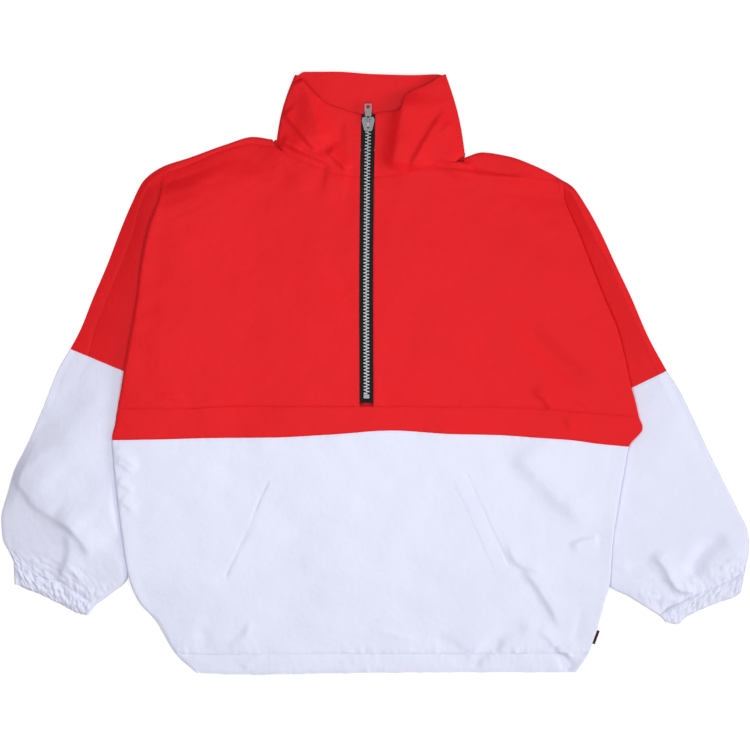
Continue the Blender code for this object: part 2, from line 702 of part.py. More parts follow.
def back_upper():
    """The red back: one flat piece on the ground, wrapping over both shoulders and overarms."""
    bm = bmesh.new()
    rings = {}
    ks = [0, 1, 2, 3, 4, 5, 5.5, 6, 6.5, 7, 8, 9, 10, 11]
    for side in (-1, 1):
        strips = [[bm.verts.new(metres(p)) for p in lap(side, k)] for k in ks]
        for a, b in zip(strips, strips[1:]):
            for c in range(len(a) - 1):
                bm.faces.new([a[c], a[c + 1], b[c + 1], b[c]])
        rings[side] = [strip[-1] for strip in strips]
    neck = [(-116.5, 275.9)] + [(COLLAR[i][0], COLLAR[i][1] - 0.6) for i in COLLAR_BACK]
    neck = [bm.verts.new(metres((x, y, GROUND))) for x, y in neck]

    def below(side):
        js = [SLEEVE_SEAM, 6.4, 7, 8, 8.5, 9, 9.5, BORDER_SEAM]
        points = [tuck_foot(side, j, FOOT_GAP) for j in js]
        x, y = points[-1]
        points[-1] = (x, y + GAP / 2)
        return [bm.verts.new(metres((*p, GROUND))) for p in points]

    left, right = below(-1), below(1)
    x0, x1 = tuck_foot(-1, BORDER_SEAM, FOOT_GAP)[0], tuck_foot(1, BORDER_SEAM, FOOT_GAP)[0]
    border = [
        bm.verts.new(metres((x, y, GROUND)))
        for x, y in line_across(BORDER, x0, x1, BACK_COLUMNS, GAP / 2)[1:-1]
    ]
    loop = rings[-1] + left + border + right[::-1] + rings[1][::-1] + neck[::-1]
    bm.faces.new(loop)
    bmesh.ops.recalc_face_normals(bm, faces=bm.faces)
    bmesh.ops.triangulate(bm, faces=[f for f in bm.faces if len(f.verts) > 4])
    return thicken(new_object("back_upper", bm, red_cloth))


def front_panel(name, js, top_line, low_line, finish, wall=WALL, rest=None, top_gap=SEAM_GAP / 2, low_gap=SEAM_GAP / 2):
    """A panel across the whole front, between two seams, with both folded sides."""
    rows = []
    j0, j1 = js[0], js[-1]
    for j in js:
        f = (j - j0) / (j1 - j0)
        l, r = edge(-1, j), edge(1, j)
        tl, tr = levels(-1, j)[2], levels(1, j)[2]
        l0, r0, l1, r1 = edge(-1, j0), edge(1, j0), edge(-1, j1), edge(1, j1)
        lie = FRONT_Z if rest is None else rest(f)
        shift = -top_gap if j == j0 else low_gap if j == j1 else 0.0
        row = [(x, y + shift, z) for x, y, z in side_points(-1, j)[::-1]]
        width = r[0] - l[0]
        shares = [i / COLUMNS for i in range(1, COLUMNS)]
        shares += [clear_of_tuck(-1, j) / width, 1 - clear_of_tuck(1, j) / width]
        for u in sorted(shares):
            x, y = mix(l[0], r[0], u), mix(l[1], r[1], u)
            xt, xl = mix(l0[0], r0[0], u), mix(l1[0], r1[0], u)
            y += (1 - f) * (at_x(top_line, xt) - mix(l0[1], r0[1], u))
            y += f * (at_x(low_line, xl) - mix(l1[1], r1[1], u))
            z = max(front_height(-1, j, x - l[0], tl, lie), front_height(1, j, r[0] - x, tr, lie))
            row.append((x, y + shift, z + folded(x, y)))
        row += [(x, y + shift, z) for x, y, z in side_points(1, j)]
        rows.append(row)
    return sheet(name, rows, finish, wall)


def back_panel(name, js, top_line, low_line, finish):
    """A panel of the back: flat on the ground between the two tucks."""
    bm = bmesh.new()
    columns = BACK_COLUMNS
    rows = []
    j0, j1 = js[0], js[-1]
    for j in js:
        f = (j - j0) / (j1 - j0)
        (lx, ly), (rx, ry) = tuck_foot(-1, j, FOOT_GAP), tuck_foot(1, j, FOOT_GAP)
        shift = -GAP / 2 if j == j0 else GAP / 2 if j == j1 else 0.0
        row = []
        for i in range(columns):
            u = i / (columns - 1)
            x, y = mix(lx, rx, u), mix(ly, ry, u)
            ends = []
            for at, line in ((j0, top_line), (j1, low_line)):
                (ax, ay), (bx, by) = tuck_foot(-1, at, FOOT_GAP), tuck_foot(1, at, FOOT_GAP)
                ends.append(at_x(line, mix(ax, bx, u)) - mix(ay, by, u))
            if 0 < i < columns - 1:
                y += mix(ends[0], ends[1], f)
            row.append((x, y + shift, GROUND))
        rows.append(row)
    bm.free()
    return sheet(name, rows, finish)


def body_edge(side, y):
    """x of the body's folded edge at y."""
    rows = [edge(side, j) for j in np.linspace(SLEEVE_SEAM - 1, HEM_EDGE, 60)]
    return float(np.interp(-y, [-row[1] for row in rows], [row[0] for row in rows]))


def seam_height(side, s):
    """Mid-height of the red sleeve at its lower seam, s from the outer side to the inner."""
    o, i = np.array(SLEEVE[side][0][:2]), np.array(SLEEVE[side][0][2:4])
    e, q = edge(side, SLEEVE_SEAM), seam(side, SLEEVE_SEAM + SHOULDER_END + 1)
    reach = float(np.linalg.norm(q - e))
    out = float((mix(o, i, s) - e) @ outward(side, SLEEVE_SEAM))
    if out <= reach:
        return sleeve_height(side, SLEEVE_SEAM, out, reach)
    high, low = lap_heights(side, 11)
    return mix(high, low, min(1.0, (out - reach) / 12.0))


def sleeve_ring(side, m):
    """A section of the white sleeve: front from the outer side to the inner, then the flat underside."""
    rows = SLEEVE[side]
    o = np.array([at_row(rows, m, 0), at_row(rows, m, 1)])
    i = np.array([at_row(rows, m, 2), at_row(rows, m, 3)])
    puff = at_row(rows, m, 4)
    across = (i - o) / np.linalg.norm(i - o)
    down = np.array([-across[1], across[0]]) * (1 if side < 0 else -1)
    if down[1] > 0:
        down = -down
    bow = ease((m - 6.5) / 2.5)
    cuff = CUFF[side]
    start = 1 - ease(m / 4)
    high_o, high_i = (mix(SLEEVE_Z, h, 1 - ease((m - 6.5) / 2.5)) for h in SLEEVE_SIDES[side])
    high_o, high_i = mix(high_o, lap_heights(side, 11)[1], start), mix(high_i, SLEEVE_UP[side], start)
    ro, ri = (high_o - GROUND) / 2, (high_i - GROUND) / 2
    inset_o, inset_i = WALL / 2 + min(ro, ARM_DEEP[side]), WALL / 2 + min(ri, 2.0)
    span = np.linalg.norm(i - o)
    shift = (SEAM_GAP / 2 if m == 0 else -SEAM_GAP / 2 if m == len(rows) - 1 else 0.0) * down

    def point(s, z, near):
        p = mix(o, i, s)
        k = s * (len(cuff) - 1)
        on_cuff = np.array([at_row(cuff, k, 0), at_row(cuff, k, 1)])
        straight = mix(np.array(cuff[0][:2]), np.array(cuff[-1][:2]), s)
        p = p + bow * (on_cuff - straight) + near * across + shift
        return (p[0], p[1], z)

    ring = []
    for s in np.linspace(0, 1, RING_STEPS + 1):
        near = inset_o if s == 0 else -inset_i if s == 1 else 0.0
        x, y, _ = point(s, 0, near)
        level = mix(high_o, high_i, s)
        rise = PUFF * puff * math.sin(math.pi * s) ** (0.6 if s < 0.5 else 0.55)
        rise += start * (seam_height(side, s) - level) + folded(x, y) * min(1.0, 12 * s, 12 * (1 - s))
        clear = max(0.0, side * (x - body_edge(side, y)) + 1.0)
        ring.append((x, y, min(level + rise, UNDER_TUCK + 0.45 * clear)))
    ring.append(point(1.0, GROUND + ri, -WALL / 2))
    for n in CUFF_BACK:
        near = inset_o if n == 0 else -inset_i if n == len(cuff) - 1 else 0.0
        ring.append(point(n / (len(cuff) - 1), GROUND, near))
    ring.append(point(0.0, GROUND + ro, WALL / 2))
    return ring


def sleeve_lower(side, name):
    rows = [sleeve_ring(side, m) for m in np.linspace(0, len(SLEEVE[side]) - 1, SLEEVE_STEPS + 1)]
    return sheet(name, rows, white_cloth, closed=True)


def cuff_ring(side, f):
    """A section of the elastic casing, f from its gathered seam to its free edge."""
    rows = CUFF[side]
    r = LAP_RISE / 2
    inset = WALL / 2 + r
    last = len(rows) - 1
    shift = SEAM_GAP if f == 0 else 0.0

    def point(n, z, near):
        a, b = (np.array([at_row(rows, n, c), at_row(rows, n, c + 1)]) for c in (0, 2))
        down = (b - a) / np.linalg.norm(b - a)
        ends = [mix(np.array(rows[n][:2]), np.array(rows[n][2:]), f) for n in (0, last)]
        across = (ends[1] - ends[0]) / np.linalg.norm(ends[1] - ends[0])
        p = mix(a, b, f) + near * across + shift * down
        return (p[0], p[1], z)

    ring = []
    for n in np.linspace(0, last, RING_STEPS + 1):
        inside = 0 < n < last
        near = 0.0 if inside else inset if n == 0 else -inset
        ring.append(point(n, SLEEVE_Z + (0.9 + 1.2 * math.sin(math.pi * f) - 1.2 * f if inside else 0.0), near))
    ring.append(point(last, GROUND + r, -WALL / 2))
    for n in CUFF_BACK:
        near = inset if n == 0 else -inset if n == last else 0.0
        ring.append(point(n, GROUND, near))
    ring.append(point(0, GROUND + r, WALL / 2))
    return ring


def cuff(side, name):
    return sheet(name, [cuff_ring(side, f) for f in (0, 0.5, 1)], white_cloth, closed=True)


def collar():
    """The stand collar, folded flat at the ends of the shoulders, its back on the ground."""
    rows = []
    for f in (0, 0.25, 0.5, 0.75, 1):
        line = [[mix(r[c], r[c + 3], f) for c in range(3)] for r in COLLAR]
        for n, side in ((0, -1), (len(COLLAR) - 1, 1)):
            line[n][0] = zip_x(line[n][1]) + side * (ZIP_HALF + 0.1)
        row = []
        for n, point in enumerate(line):
            if n not in COLLAR_FOLDS:
                row.append(tuple(point))
                continue
            # The fold is round, so that its two layers keep apart.
            side = -1 if n == COLLAR_FOLDS[0] else 1
            point[0] += side * COLLAR_BOW * math.sin(math.pi * f)
            front, back = line[n + side], line[n - side]
            middle = [(front[c] + back[c]) / 2 for c in (0, 1)]
            inward = np.array(middle) - point[:2]
            inward *= COLLAR_FOLD_IN / np.linalg.norm(inward)
            upper = (point[0] + inward[0], point[1] + inward[1], front[2])
            lower = (point[0] + inward[0], point[1] + inward[1], back[2])
            outer = (point[0], point[1], (front[2] + back[2]) / 2)
            row += [upper, outer, lower][:: 1 if side < 0 else -1]
        rows.append(row)
    return sheet("collar", rows, red_cloth, COLLAR_WALL)


def lower_rest(f):
    """Mid-height of the white front from its upper seam to the hem's."""
    return mix(FRONT_Z, HEM_Z, ease((f - 0.3) / 0.7))


def panel_height(x, y):
    """Mid-height of the white front, straight between its rows as it is built."""
    left, right = edge(-1, 12)[0], edge(1, 12)[0]
    u = (x - left) / (right - left)
    ys = [mix(edge(-1, j)[1], edge(1, j)[1], u) for j in LOWER_ROWS]
    rests = []
    for j in LOWER_ROWS:
        f = (j - BORDER_SEAM) / (HEM_SEAM - BORDER_SEAM)
        l, r = edge(-1, j)[0], edge(1, j)[0]
        rests.append(
            max(
                front_height(-1, j, x - l, levels(-1, j)[2], lower_rest(f)),
                front_height(1, j, r - x, levels(1, j)[2], lower_rest(f)),
            )
        )
    return float(np.interp(-y, [-v for v in ys], rests))


def welt(side, name):
    """A strip lying on the white front, made from the front's own height and moved out."""
    (ax, ay, bx, by), (cx, cy, dx, dy) = WELT[side]
    rows = []
    for f in np.linspace(0, 1, 8):
        row = [(mix(mix(ax, bx, f), mix(cx, dx, f), g), mix(mix(ay, by, f), mix(cy, dy, f), g)) for g in (0, 0.5, 1)]
        rows.append([(x, y, panel_height(x, y) + WALL + WELT_GAP) for x, y in row])
    return sheet(name, rows, white_cloth)


def strip(name, ys, half_from, half_to, z0, z1, finish):
    """A straight-sided strip along the zip's centre line."""
    bm = bmesh.new()
    bmesh.ops.create_cube(bm, size=1.0)
    bmesh.ops.subdivide_edges(
        bm,
        edges=[e for e in bm.edges if abs(e.verts[0].co.y - e.verts[1].co.y) > 0.5],
        cuts=7,
        use_grid_fill=False,
    )
    for v in bm.verts:
        y = mix(ys[0], ys[1], v.co.y + 0.5)
        x = zip_x(y) + mix(half_from, half_to, v.co.x + 0.5)
        v.co = metres((x, y, mix(z0, z1, v.co.z + 0.5)))
    return new_object(name, bm, finish, smooth=False)


def extruded(name, outline_points, axis, low, high, finish, where=None):
    """A flat outline given a thickness along Z, or along X for an outline in Y and Z."""
    bm = bmesh.new()
    if axis == "Z":
        corners = [(x, y, low) for x, y in outline_points]
        step = (0, 0, high - low)
    else:
        corners = [(low, y, z) for y, z in outline_points]
        step = (high - low, 0, 0)
    face = bm.faces.new([bm.verts.new(p) for p in corners])
    made = bmesh.ops.extrude_face_region(bm, geom=[face])
    moved = [g for g in made["geom"] if isinstance(g, bmesh.types.BMVert)]
    bmesh.ops.translate(bm, verts=moved, vec=step)
    bmesh.ops.recalc_face_normals(bm, faces=bm.faces)
    for v in bm.verts:
        v.co = v.co * MM
    obj = new_object(name, bm, finish, smooth=False)
    if where is not None:
        where(obj)
    return obj


def as_cutter(obj):
    parts.objects.unlink(obj)
    cutters.objects.link(obj)
    obj.hide_render = True
    obj.display_type = "WIRE"
    return obj


def join_with(obj, others, operation="UNION"):
    for other in others:
        step = obj.modifiers.new(operation.lower(), "BOOLEAN")
        step.operation = operation
        step.object = as_cutter(other)
        step.solver = "EXACT"


def box(name, x0, x1, y0, y1, z0, z1, finish):
    bm = bmesh.new()
    bmesh.ops.create_cube(bm, size=1.0)
    for v in bm.verts:
        v.co = (
            mix(x0, x1, v.co.x + 0.5) * MM,
            mix(y0, y1, v.co.y + 0.5) * MM,
            mix(z0, z1, v.co.z + 0.5) * MM,
        )
    return new_object(name, bm, finish, smooth=False)


def slider():
    """Two plates, the post that parts the chain, and the bail that holds the pull."""
    x, y, z = zip_x(SLIDER_Y), SLIDER_Y, FRONT_Z
    full = list(PLATE) + [(-px, py) for px, py in PLATE[::-1]]
    top = extruded("zip_slider", full, "Z", *TOP_PLATE, steel)
    low = extruded("low_plate", full, "Z", *LOW_PLATE, steel)
    post = box("post", -POST[0] / 2, POST[0] / 2, POST[1], POST[2], LOW_PLATE[0] + 0.3, TOP_PLATE[1] - 0.3, steel)
    bail = extruded("bail", list(BAIL_OUT) + list(BAIL_IN), "X", -BAIL_WIDTH / 2, BAIL_WIDTH / 2, steel)
    spot = metres((x, y, z))
    for obj in (top, low, post, bail):
        obj.location = spot
    join_with(top, [low, post, bail])
    return top


def pull():
    """The tab, its two arms and the bar that turns under the bail. Its origin is on the bar."""
    centre = metres((zip_x(SLIDER_Y), SLIDER_Y + HINGE[0], FRONT_Z + HINGE[1]))
    half, t = PULL_TAB[0], PULL_THICK / 2
    narrow = half - 0.5
    outline_points = [
        (narrow, PULL_TAB[1]),
        (narrow, 9.0),
        (half, 10.5),
        (half, PULL_TAB[2] - 0.8),
        (half - 0.8, PULL_TAB[2]),
        (-half + 0.8, PULL_TAB[2]),
        (-half, PULL_TAB[2] - 0.8),
        (-half, 10.5),
        (-narrow, 9.0),
        (-narrow, PULL_TAB[1]),
    ]
    tab = extruded("zip_pull", outline_points, "Z", -t, t, steel)
    arms = [
        box("arm", s * PULL_ARM[0], s * PULL_ARM[1], -0.3, PULL_ARM[2], -t, t, steel) for s in (-1, 1)
    ]
    bm = bmesh.new()
    bmesh.ops.create_cone(
        bm,
        cap_ends=True,
        segments=12,
        radius1=PULL_BAR_R * MM,
        radius2=PULL_BAR_R * MM,
        depth=2 * PULL_ARM[1] * MM,
    )
    bmesh.ops.rotate(bm, verts=bm.verts, matrix=Matrix.Rotation(math.pi / 2, 3, "Y"))
    bar = new_object("bar", bm, steel)
    hole = box("hole", -PULL_HOLE[0], PULL_HOLE[0], PULL_HOLE[1], PULL_HOLE[2], -2, 2, steel)
    for obj in (tab, *arms, bar, hole):
        obj.location = centre
    join_with(tab, [*arms, bar])
    join_with(tab, [hole], "DIFFERENCE")
    return tab


def label():
    (ax, ay), (bx, by) = LABEL
    along = np.array([bx - ax, by - ay])
    length = float(np.linalg.norm(along))
    obj = box("side_label", 0.5, 0.5 + LABEL_OUT, -length / 2, length / 2, 1.4, 2.4, maroon_cloth)
    obj.location = metres(((ax + bx) / 2, (ay + by) / 2, 0))
    obj.rotation_euler[2] = math.atan2(along[1], along[0]) + math.pi / 2
    return obj


clear_scene()
parts = collection(NAME)
cutters = collection("cutters")
red_cloth = material("red_cloth", RED, 0.62)
white_cloth = material("white_cloth", WHITE, 0.62)
black_tape = material("black_tape", BLACK, 0.85)
steel = material("steel", STEEL, 0.3, 1.0)
maroon_cloth = material("maroon_cloth", MAROON, 0.8)

front_upper(-1, "front_upper_left")
front_upper(1, "front_upper_right")
back_upper()
front_panel("front_band", [8, 8.5, 9, 9.5, 10], BAND_TOP, BORDER, red_cloth, top_gap=BAND_GAP)
front_panel("front_lower", LOWER_ROWS, BORDER, HEM_TOP, white_cloth, rest=lower_rest)
front_panel(
    "hem_casing_front",
    [17, 17.5, 18],
    HEM_TOP,
    HEM_END,
    white_cloth,
    rest=lambda f: mix(HEM_Z, SLEEVE_Z + 0.3, f),
)
back_panel("back_lower", LOWER_ROWS, BORDER, HEM_TOP, white_cloth)
back_panel("hem_casing_back", [17, 17.5, 18], HEM_TOP, HEM_END, white_cloth)
sleeve_lower(-1, "sleeve_lower_left")
sleeve_lower(1, "sleeve_lower_right")
cuff(-1, "cuff_left")
cuff(1, "cuff_right")
collar()
welt(-1, "pocket_welt_left")
welt(1, "pocket_welt_right")
strip("zip_tape_left", TAPE_Y, -ZIP_HALF + GAP, -CHAIN_HALF - GAP, FRONT_Z - 0.5, FRONT_Z + 0.5, black_tape)
strip("zip_tape_right", TAPE_Y, CHAIN_HALF + GAP, ZIP_HALF - GAP, FRONT_Z - 0.5, FRONT_Z + 0.5, black_tape)
strip("zip_chain", CHAIN_Y, -CHAIN_HALF, CHAIN_HALF, FRONT_Z - CHAIN_HALF_Z, FRONT_Z + CHAIN_HALF_Z, steel)
strip("zip_bottom_stop", STOP_Y, -3.4, 3.4, FRONT_Z - 1.3, FRONT_Z + 1.5, steel)
slider()
pull()
label()
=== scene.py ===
"""The looks of the half-zip windbreaker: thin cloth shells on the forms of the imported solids.

Tables are in millimetres, as in part.py, with the same names and the same functions, so that each shell lies
in its solid. The creases, gathers and stitches are added here. Lengths are turned into metres in metres().
"""

import math

import bmesh
import bpy
import numpy as np
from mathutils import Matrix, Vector
from mathutils.bvhtree import BVHTree


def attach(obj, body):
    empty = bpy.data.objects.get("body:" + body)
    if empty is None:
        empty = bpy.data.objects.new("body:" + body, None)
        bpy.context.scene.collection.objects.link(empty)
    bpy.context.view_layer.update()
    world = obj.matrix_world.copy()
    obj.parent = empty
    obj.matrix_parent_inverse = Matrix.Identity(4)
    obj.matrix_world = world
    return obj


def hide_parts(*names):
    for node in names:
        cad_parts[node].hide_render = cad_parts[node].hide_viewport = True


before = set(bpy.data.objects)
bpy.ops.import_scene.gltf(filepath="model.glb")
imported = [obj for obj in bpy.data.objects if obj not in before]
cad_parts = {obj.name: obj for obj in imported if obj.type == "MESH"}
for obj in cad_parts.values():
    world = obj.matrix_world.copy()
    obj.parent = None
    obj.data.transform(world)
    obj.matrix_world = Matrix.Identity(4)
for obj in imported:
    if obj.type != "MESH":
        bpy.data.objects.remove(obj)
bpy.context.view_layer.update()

BODY = "garment"

# ---------------------------------------------------------------- sizes, millimetres
MM = 0.001
WALL = 0.6  # shell of a single cloth
COLLAR_WALL = 1.5
GAP = 0.12  # between two shells at a seam
GROUND = WALL / 2
LAP_RISE = 2.6
FRONT_Z = 8.4
SLEEVE_Z = GROUND + LAP_RISE
TUCK_Z = 8.8  # most that the cloth under the front's fold rises to
SLEEVE_UP = {-1: 6.8, 1: 2.9}  # height of the sleeve's front where it comes out from under the body's fold
FOLD_RISE = {-1: (6.6, 4.2, 2.6), 1: (3.6, 2.2, 5.0)}  # height from the tuck to the front: at the red sleeve, below, at the hem
FOLD_DEEP = {-1: (3.4, 2.4), 1: (0.9, 0.9)}  # how far the rounding of the fold reaches in plan, likewise
ARM_LEAN = {-1: 1.2, 1: 0.0}  # how far the sleeve's front bulges between the body and the overarm seam
NECK_Z = {  # mid-height of the cloth along the rows of NECK
    -1: (8.4, 8.4, 8.4, 7.6, 5.8, 4.4),
    1: (8.4, 8.4, 8.4, 8.4, 8.0, 7.6),
}
ARM_Z = {  # mid-height of the cloth along the rows of SEAM
    -1: (4.4, 4.2, 4.0, 4.1, 4.4, 4.0, 3.6, 3.3, 3.1, 3.1, 3.1, 3.1),
    1: (7.6, 9.2, 10.2, 11.0, 11.4, 11.6, 12.0, 12.2, 12.2, 12.2, 12.0, 11.6),
}
ARM_EDGE = {-1: 1.4, 1: 11.0}  # height of the cloth where it starts to turn under at the garment's edge
ARM_DEEP = {-1: 3.6, 1: 1.5}  # how far that turn reaches in plan
SLEEVE_SIDES = {-1: (2.2, 7.6), 1: (7.2, 3.2)}  # height of a white sleeve at its outer and inner side
UNDER_TUCK = 7.7  # highest that a sleeve may lie under the body
SLOPE = 6.0
EDGE_CLEAR = 4.0
EDGE_DIP = 0.8
EDGE_FALL = 130.0
HEM_FALL = {-1: 130.0, 1: 62.0}  # and at the hem
ZIP_HALF = 8.4
CENTRE = (0.1, 0.21)
CELL = 2.3  # spacing of the shells' points

# ---------------------------------------------------------------- tables
# The zip's centre line, from the tapes' top ends to their lower ends.
ZIP = (  # y, x
    (310.8, -7.9),
    (291.6, -8.3),
    (231.6, -9.6),
    (87.6, -10.6),
    (-30.0, -10.2),
    (-36.0, -10.2),
)

# Neck seam of each front, from the zip to the shoulder seam.
NECK = {
    -1: (  # x, y
        (-18.0, 235.2),
        (-41.4, 238.2),
        (-65.4, 245.4),
        (-91.8, 255.6),
        (-108.6, 264.6),
        (-119.4, 271.8),
    ),
    1: (
        (-1.2, 235.2),
        (21.0, 237.6),
        (41.4, 242.4),
        (61.8, 248.4),
        (82.2, 253.8),
        (106.2, 253.2),
    ),
}

# Shoulder and overarm: the seam that lies on the front, and the garment's edge beside it.
SEAM = {
    -1: (  # seam_x, seam_y, edge_x, edge_y
        (-119.4, 271.8, -123.0, 280.8),
        (-147.0, 275.4, -147.0, 284.0),
        (-179.4, 268.8, -180.6, 274.4),
        (-219.0, 252.0, -221.4, 259.6),
        (-252.6, 239.4, -256.2, 247.8),
        (-269.4, 226.8, -277.8, 231.6),
        (-281.4, 202.8, -292.8, 202.8),
        (-289.2, 172.8, -306.0, 171.6),
        (-304.2, 132.0, -321.0, 132.0),
        (-319.8, 91.2, -338.4, 91.2),
        (-335.4, 52.2, -354.0, 52.2),
        (-343.8, 20.4, -366.0, 29.4),
    ),
    1: (
        (106.2, 253.2, 108.0, 259.2),
        (129.0, 244.8, 129.0, 265.2),
        (162.6, 237.6, 160.2, 260.4),
        (196.2, 233.2, 192.6, 248.4),
        (220.5, 230.0, 222.6, 233.3),
        (231.0, 222.0, 236.4, 224.4),
        (244.2, 199.2, 254.4, 198.6),
        (261.0, 166.8, 271.8, 166.8),
        (279.0, 133.2, 288.0, 131.4),
        (298.2, 91.2, 307.2, 91.2),
        (318.6, 45.6, 327.0, 45.0),
        (339.0, -1.8, 349.4, 3.6),
    ),
}
SHOULDER_END = 4  # the row of SEAM where the pleat starts: row 0 of SIDE is on it

# The body's folded side, from the shoulder seam to the hem's corner. tuck is how far the cloth runs
# back under the edge, and lift is how high that tuck is carried: 1 where it crosses the sleeve.
SIDE = {
    -1: (  # edge_x, edge_y, tuck, lift
        (-252.6, 239.4, 0.0, 0.00),
        (-258.6, 210.0, 3.6, 0.70),
        (-271.8, 174.0, 11.0, 0.90),
        (-280.2, 132.0, 16.0, 1.00),
        (-285.6, 88.8, 18.0, 1.00),
        (-293.4, 44.4, 20.0, 1.00),
        (-300.8, 2.6, 21.0, 1.00),
        (-304.8, -21.6, 21.5, 1.00),
        (-308.4, -42.0, 23.0, 1.00),
        (-311.4, -61.2, 25.0, 1.00),
        (-315.0, -79.8, 27.0, 1.00),
        (-313.2, -108.0, 25.0, 1.00),
        (-308.4, -152.4, 21.5, 1.00),
        (-303.0, -194.4, 18.0, 1.00),
        (-295.8, -241.2, 12.0, 0.90),
        (-283.8, -272.4, 7.0, 0.45),
        (-263.4, -296.4, 5.0, 0.10),
        (-240.0, -335.4, 3.5, 0.00),
        (-214.2, -359.4, 3.5, 0.00),
    ),
    1: (
        (220.5, 230.0, 0.0, 0.00),
        (228.6, 204.0, 3.6, 0.70),
        (244.2, 168.0, 11.0, 0.90),
        (258.6, 130.8, 15.0, 1.00),
        (274.2, 91.2, 17.0, 1.00),
        (291.6, 49.2, 18.0, 1.00),
        (307.3, -17.5, 18.0, 1.00),
        (312.0, -33.6, 20.5, 1.00),
        (316.2, -52.2, 25.0, 1.00),
        (320.4, -66.0, 29.5, 1.00),
        (304.2, -87.6, 17.0, 1.00),
        (299.4, -111.6, 15.0, 1.00),
        (292.2, -152.4, 14.0, 1.00),
        (284.4, -206.4, 12.0, 1.00),
        (281.4, -250.8, 10.0, 0.90),
        (275.4, -272.4, 7.0, 0.45),
        (268.8, -298.8, 5.0, 0.10),
        (256.2, -335.4, 3.5, 0.00),
        (241.2, -358.2, 3.5, 0.00),
    ),
}
SLEEVE_SEAM, BAND_SEAM, BORDER_SEAM, HEM_SEAM, HEM_EDGE = 6, 8, 10, 17, 18  # rows of SIDE

# Seams across the front.
BAND_TOP = (  # x, y
    (-308.4, -42.0),
    (-238.2, -42.6),
    (-168.6, -39.4),
    (-90.6, -39.6),
    (-10.2, -39.6),
    (66.6, -40.0),
    (150.6, -40.8),
    (219.0, -44.4),
    (257.4, -47.4),
    (316.2, -52.2),
)
BORDER = (  # x, y
    (-315.0, -79.8),
    (-269.4, -79.2),
    (-197.4, -77.4),
    (-125.4, -76.8),
    (-53.4, -73.2),
    (18.6, -68.4),
    (90.6, -72.6),
    (144.6, -73.8),
    (198.6, -77.4),
    (234.6, -79.8),
    (270.6, -84.6),
    (304.2, -87.6),
)
HEM_TOP = (  # x, y
    (-240.0, -335.4),
    (-197.4, -337.2),
    (-137.4, -336.6),
    (119.4, -336.0),
    (186.6, -336.0),
    (256.2, -335.4),
)
HEM_END = (  # x, y
    (-214.2, -359.4),
    (-161.4, -361.6),
    (-35.4, -360.0),
    (72.6, -358.8),
    (180.6, -358.8),
    (241.2, -358.2),
)

# White sleeves, from the red seam to the cuff's seam. puff is how far the front rises between its edges.
SLEEVE = {
    -1: (  # outer_x, outer_y, inner_x, inner_y, puff
        (-366.0, 29.4, -283.2, -4.6, 0.0),
        (-379.8, 6.0, -285.0, -32.4, 1.0),
        (-399.0, -42.0, -289.8, -68.4, 1.8),
        (-417.0, -84.0, -292.2, -104.4, 2.6),
        (-433.8, -117.6, -292.2, -142.8, 3.2),
        (-441.0, -142.8, -291.0, -176.4, 3.6),
        (-448.8, -174.0, -292.2, -212.4, 4.0),
        (-447.0, -198.0, -296.4, -244.8, 4.2),
        (-439.8, -213.0, -315.0, -262.8, 3.2),
        (-433.8, -225.6, -335.4, -277.8, 1.2),
    ),
    1: (
        (349.4, 3.6, 292.6, -24.8, 0.0),
        (363.0, -16.8, 293.4, -54.0, 1.0),
        (381.0, -52.8, 294.6, -80.4, 1.8),
        (399.0, -91.2, 288.6, -116.4, 2.6),
        (417.0, -127.2, 280.2, -158.4, 3.2),
        (435.0, -163.2, 277.5, -194.4, 3.6),
        (446.4, -187.2, 276.5, -224.4, 4.0),
        (449.0, -206.4, 279.0, -252.0, 4.2),
        (448.2, -219.6, 306.6, -268.8, 3.2),
        (445.8, -229.2, 341.4, -290.4, 1.2),
    ),
}

# Cuffs, from the outer side to the inner: the gathered seam and the free edge.
CUFF = {
    -1: (  # seam_x, seam_y, end_x, end_y
        (-433.8, -225.6, -432.6, -253.2),
        (-425.4, -236.4, -417.0, -259.2),
        (-411.0, -243.6, -401.4, -265.2),
        (-394.2, -247.2, -387.0, -272.4),
        (-377.4, -250.8, -375.0, -278.4),
        (-360.6, -261.6, -361.8, -285.6),
        (-346.2, -272.4, -353.4, -288.6),
        (-335.4, -277.8, -345.0, -290.4),
    ),
    1: (
        (445.8, -229.2, 439.8, -261.6),
        (438.6, -240.0, 432.6, -268.8),
        (425.4, -248.4, 417.0, -273.6),
        (409.8, -255.6, 401.4, -279.6),
        (394.2, -262.8, 387.0, -285.6),
        (378.6, -270.0, 373.8, -292.2),
        (359.4, -279.6, 363.0, -301.2),
        (341.4, -290.4, 349.8, -298.8),
    ),
}

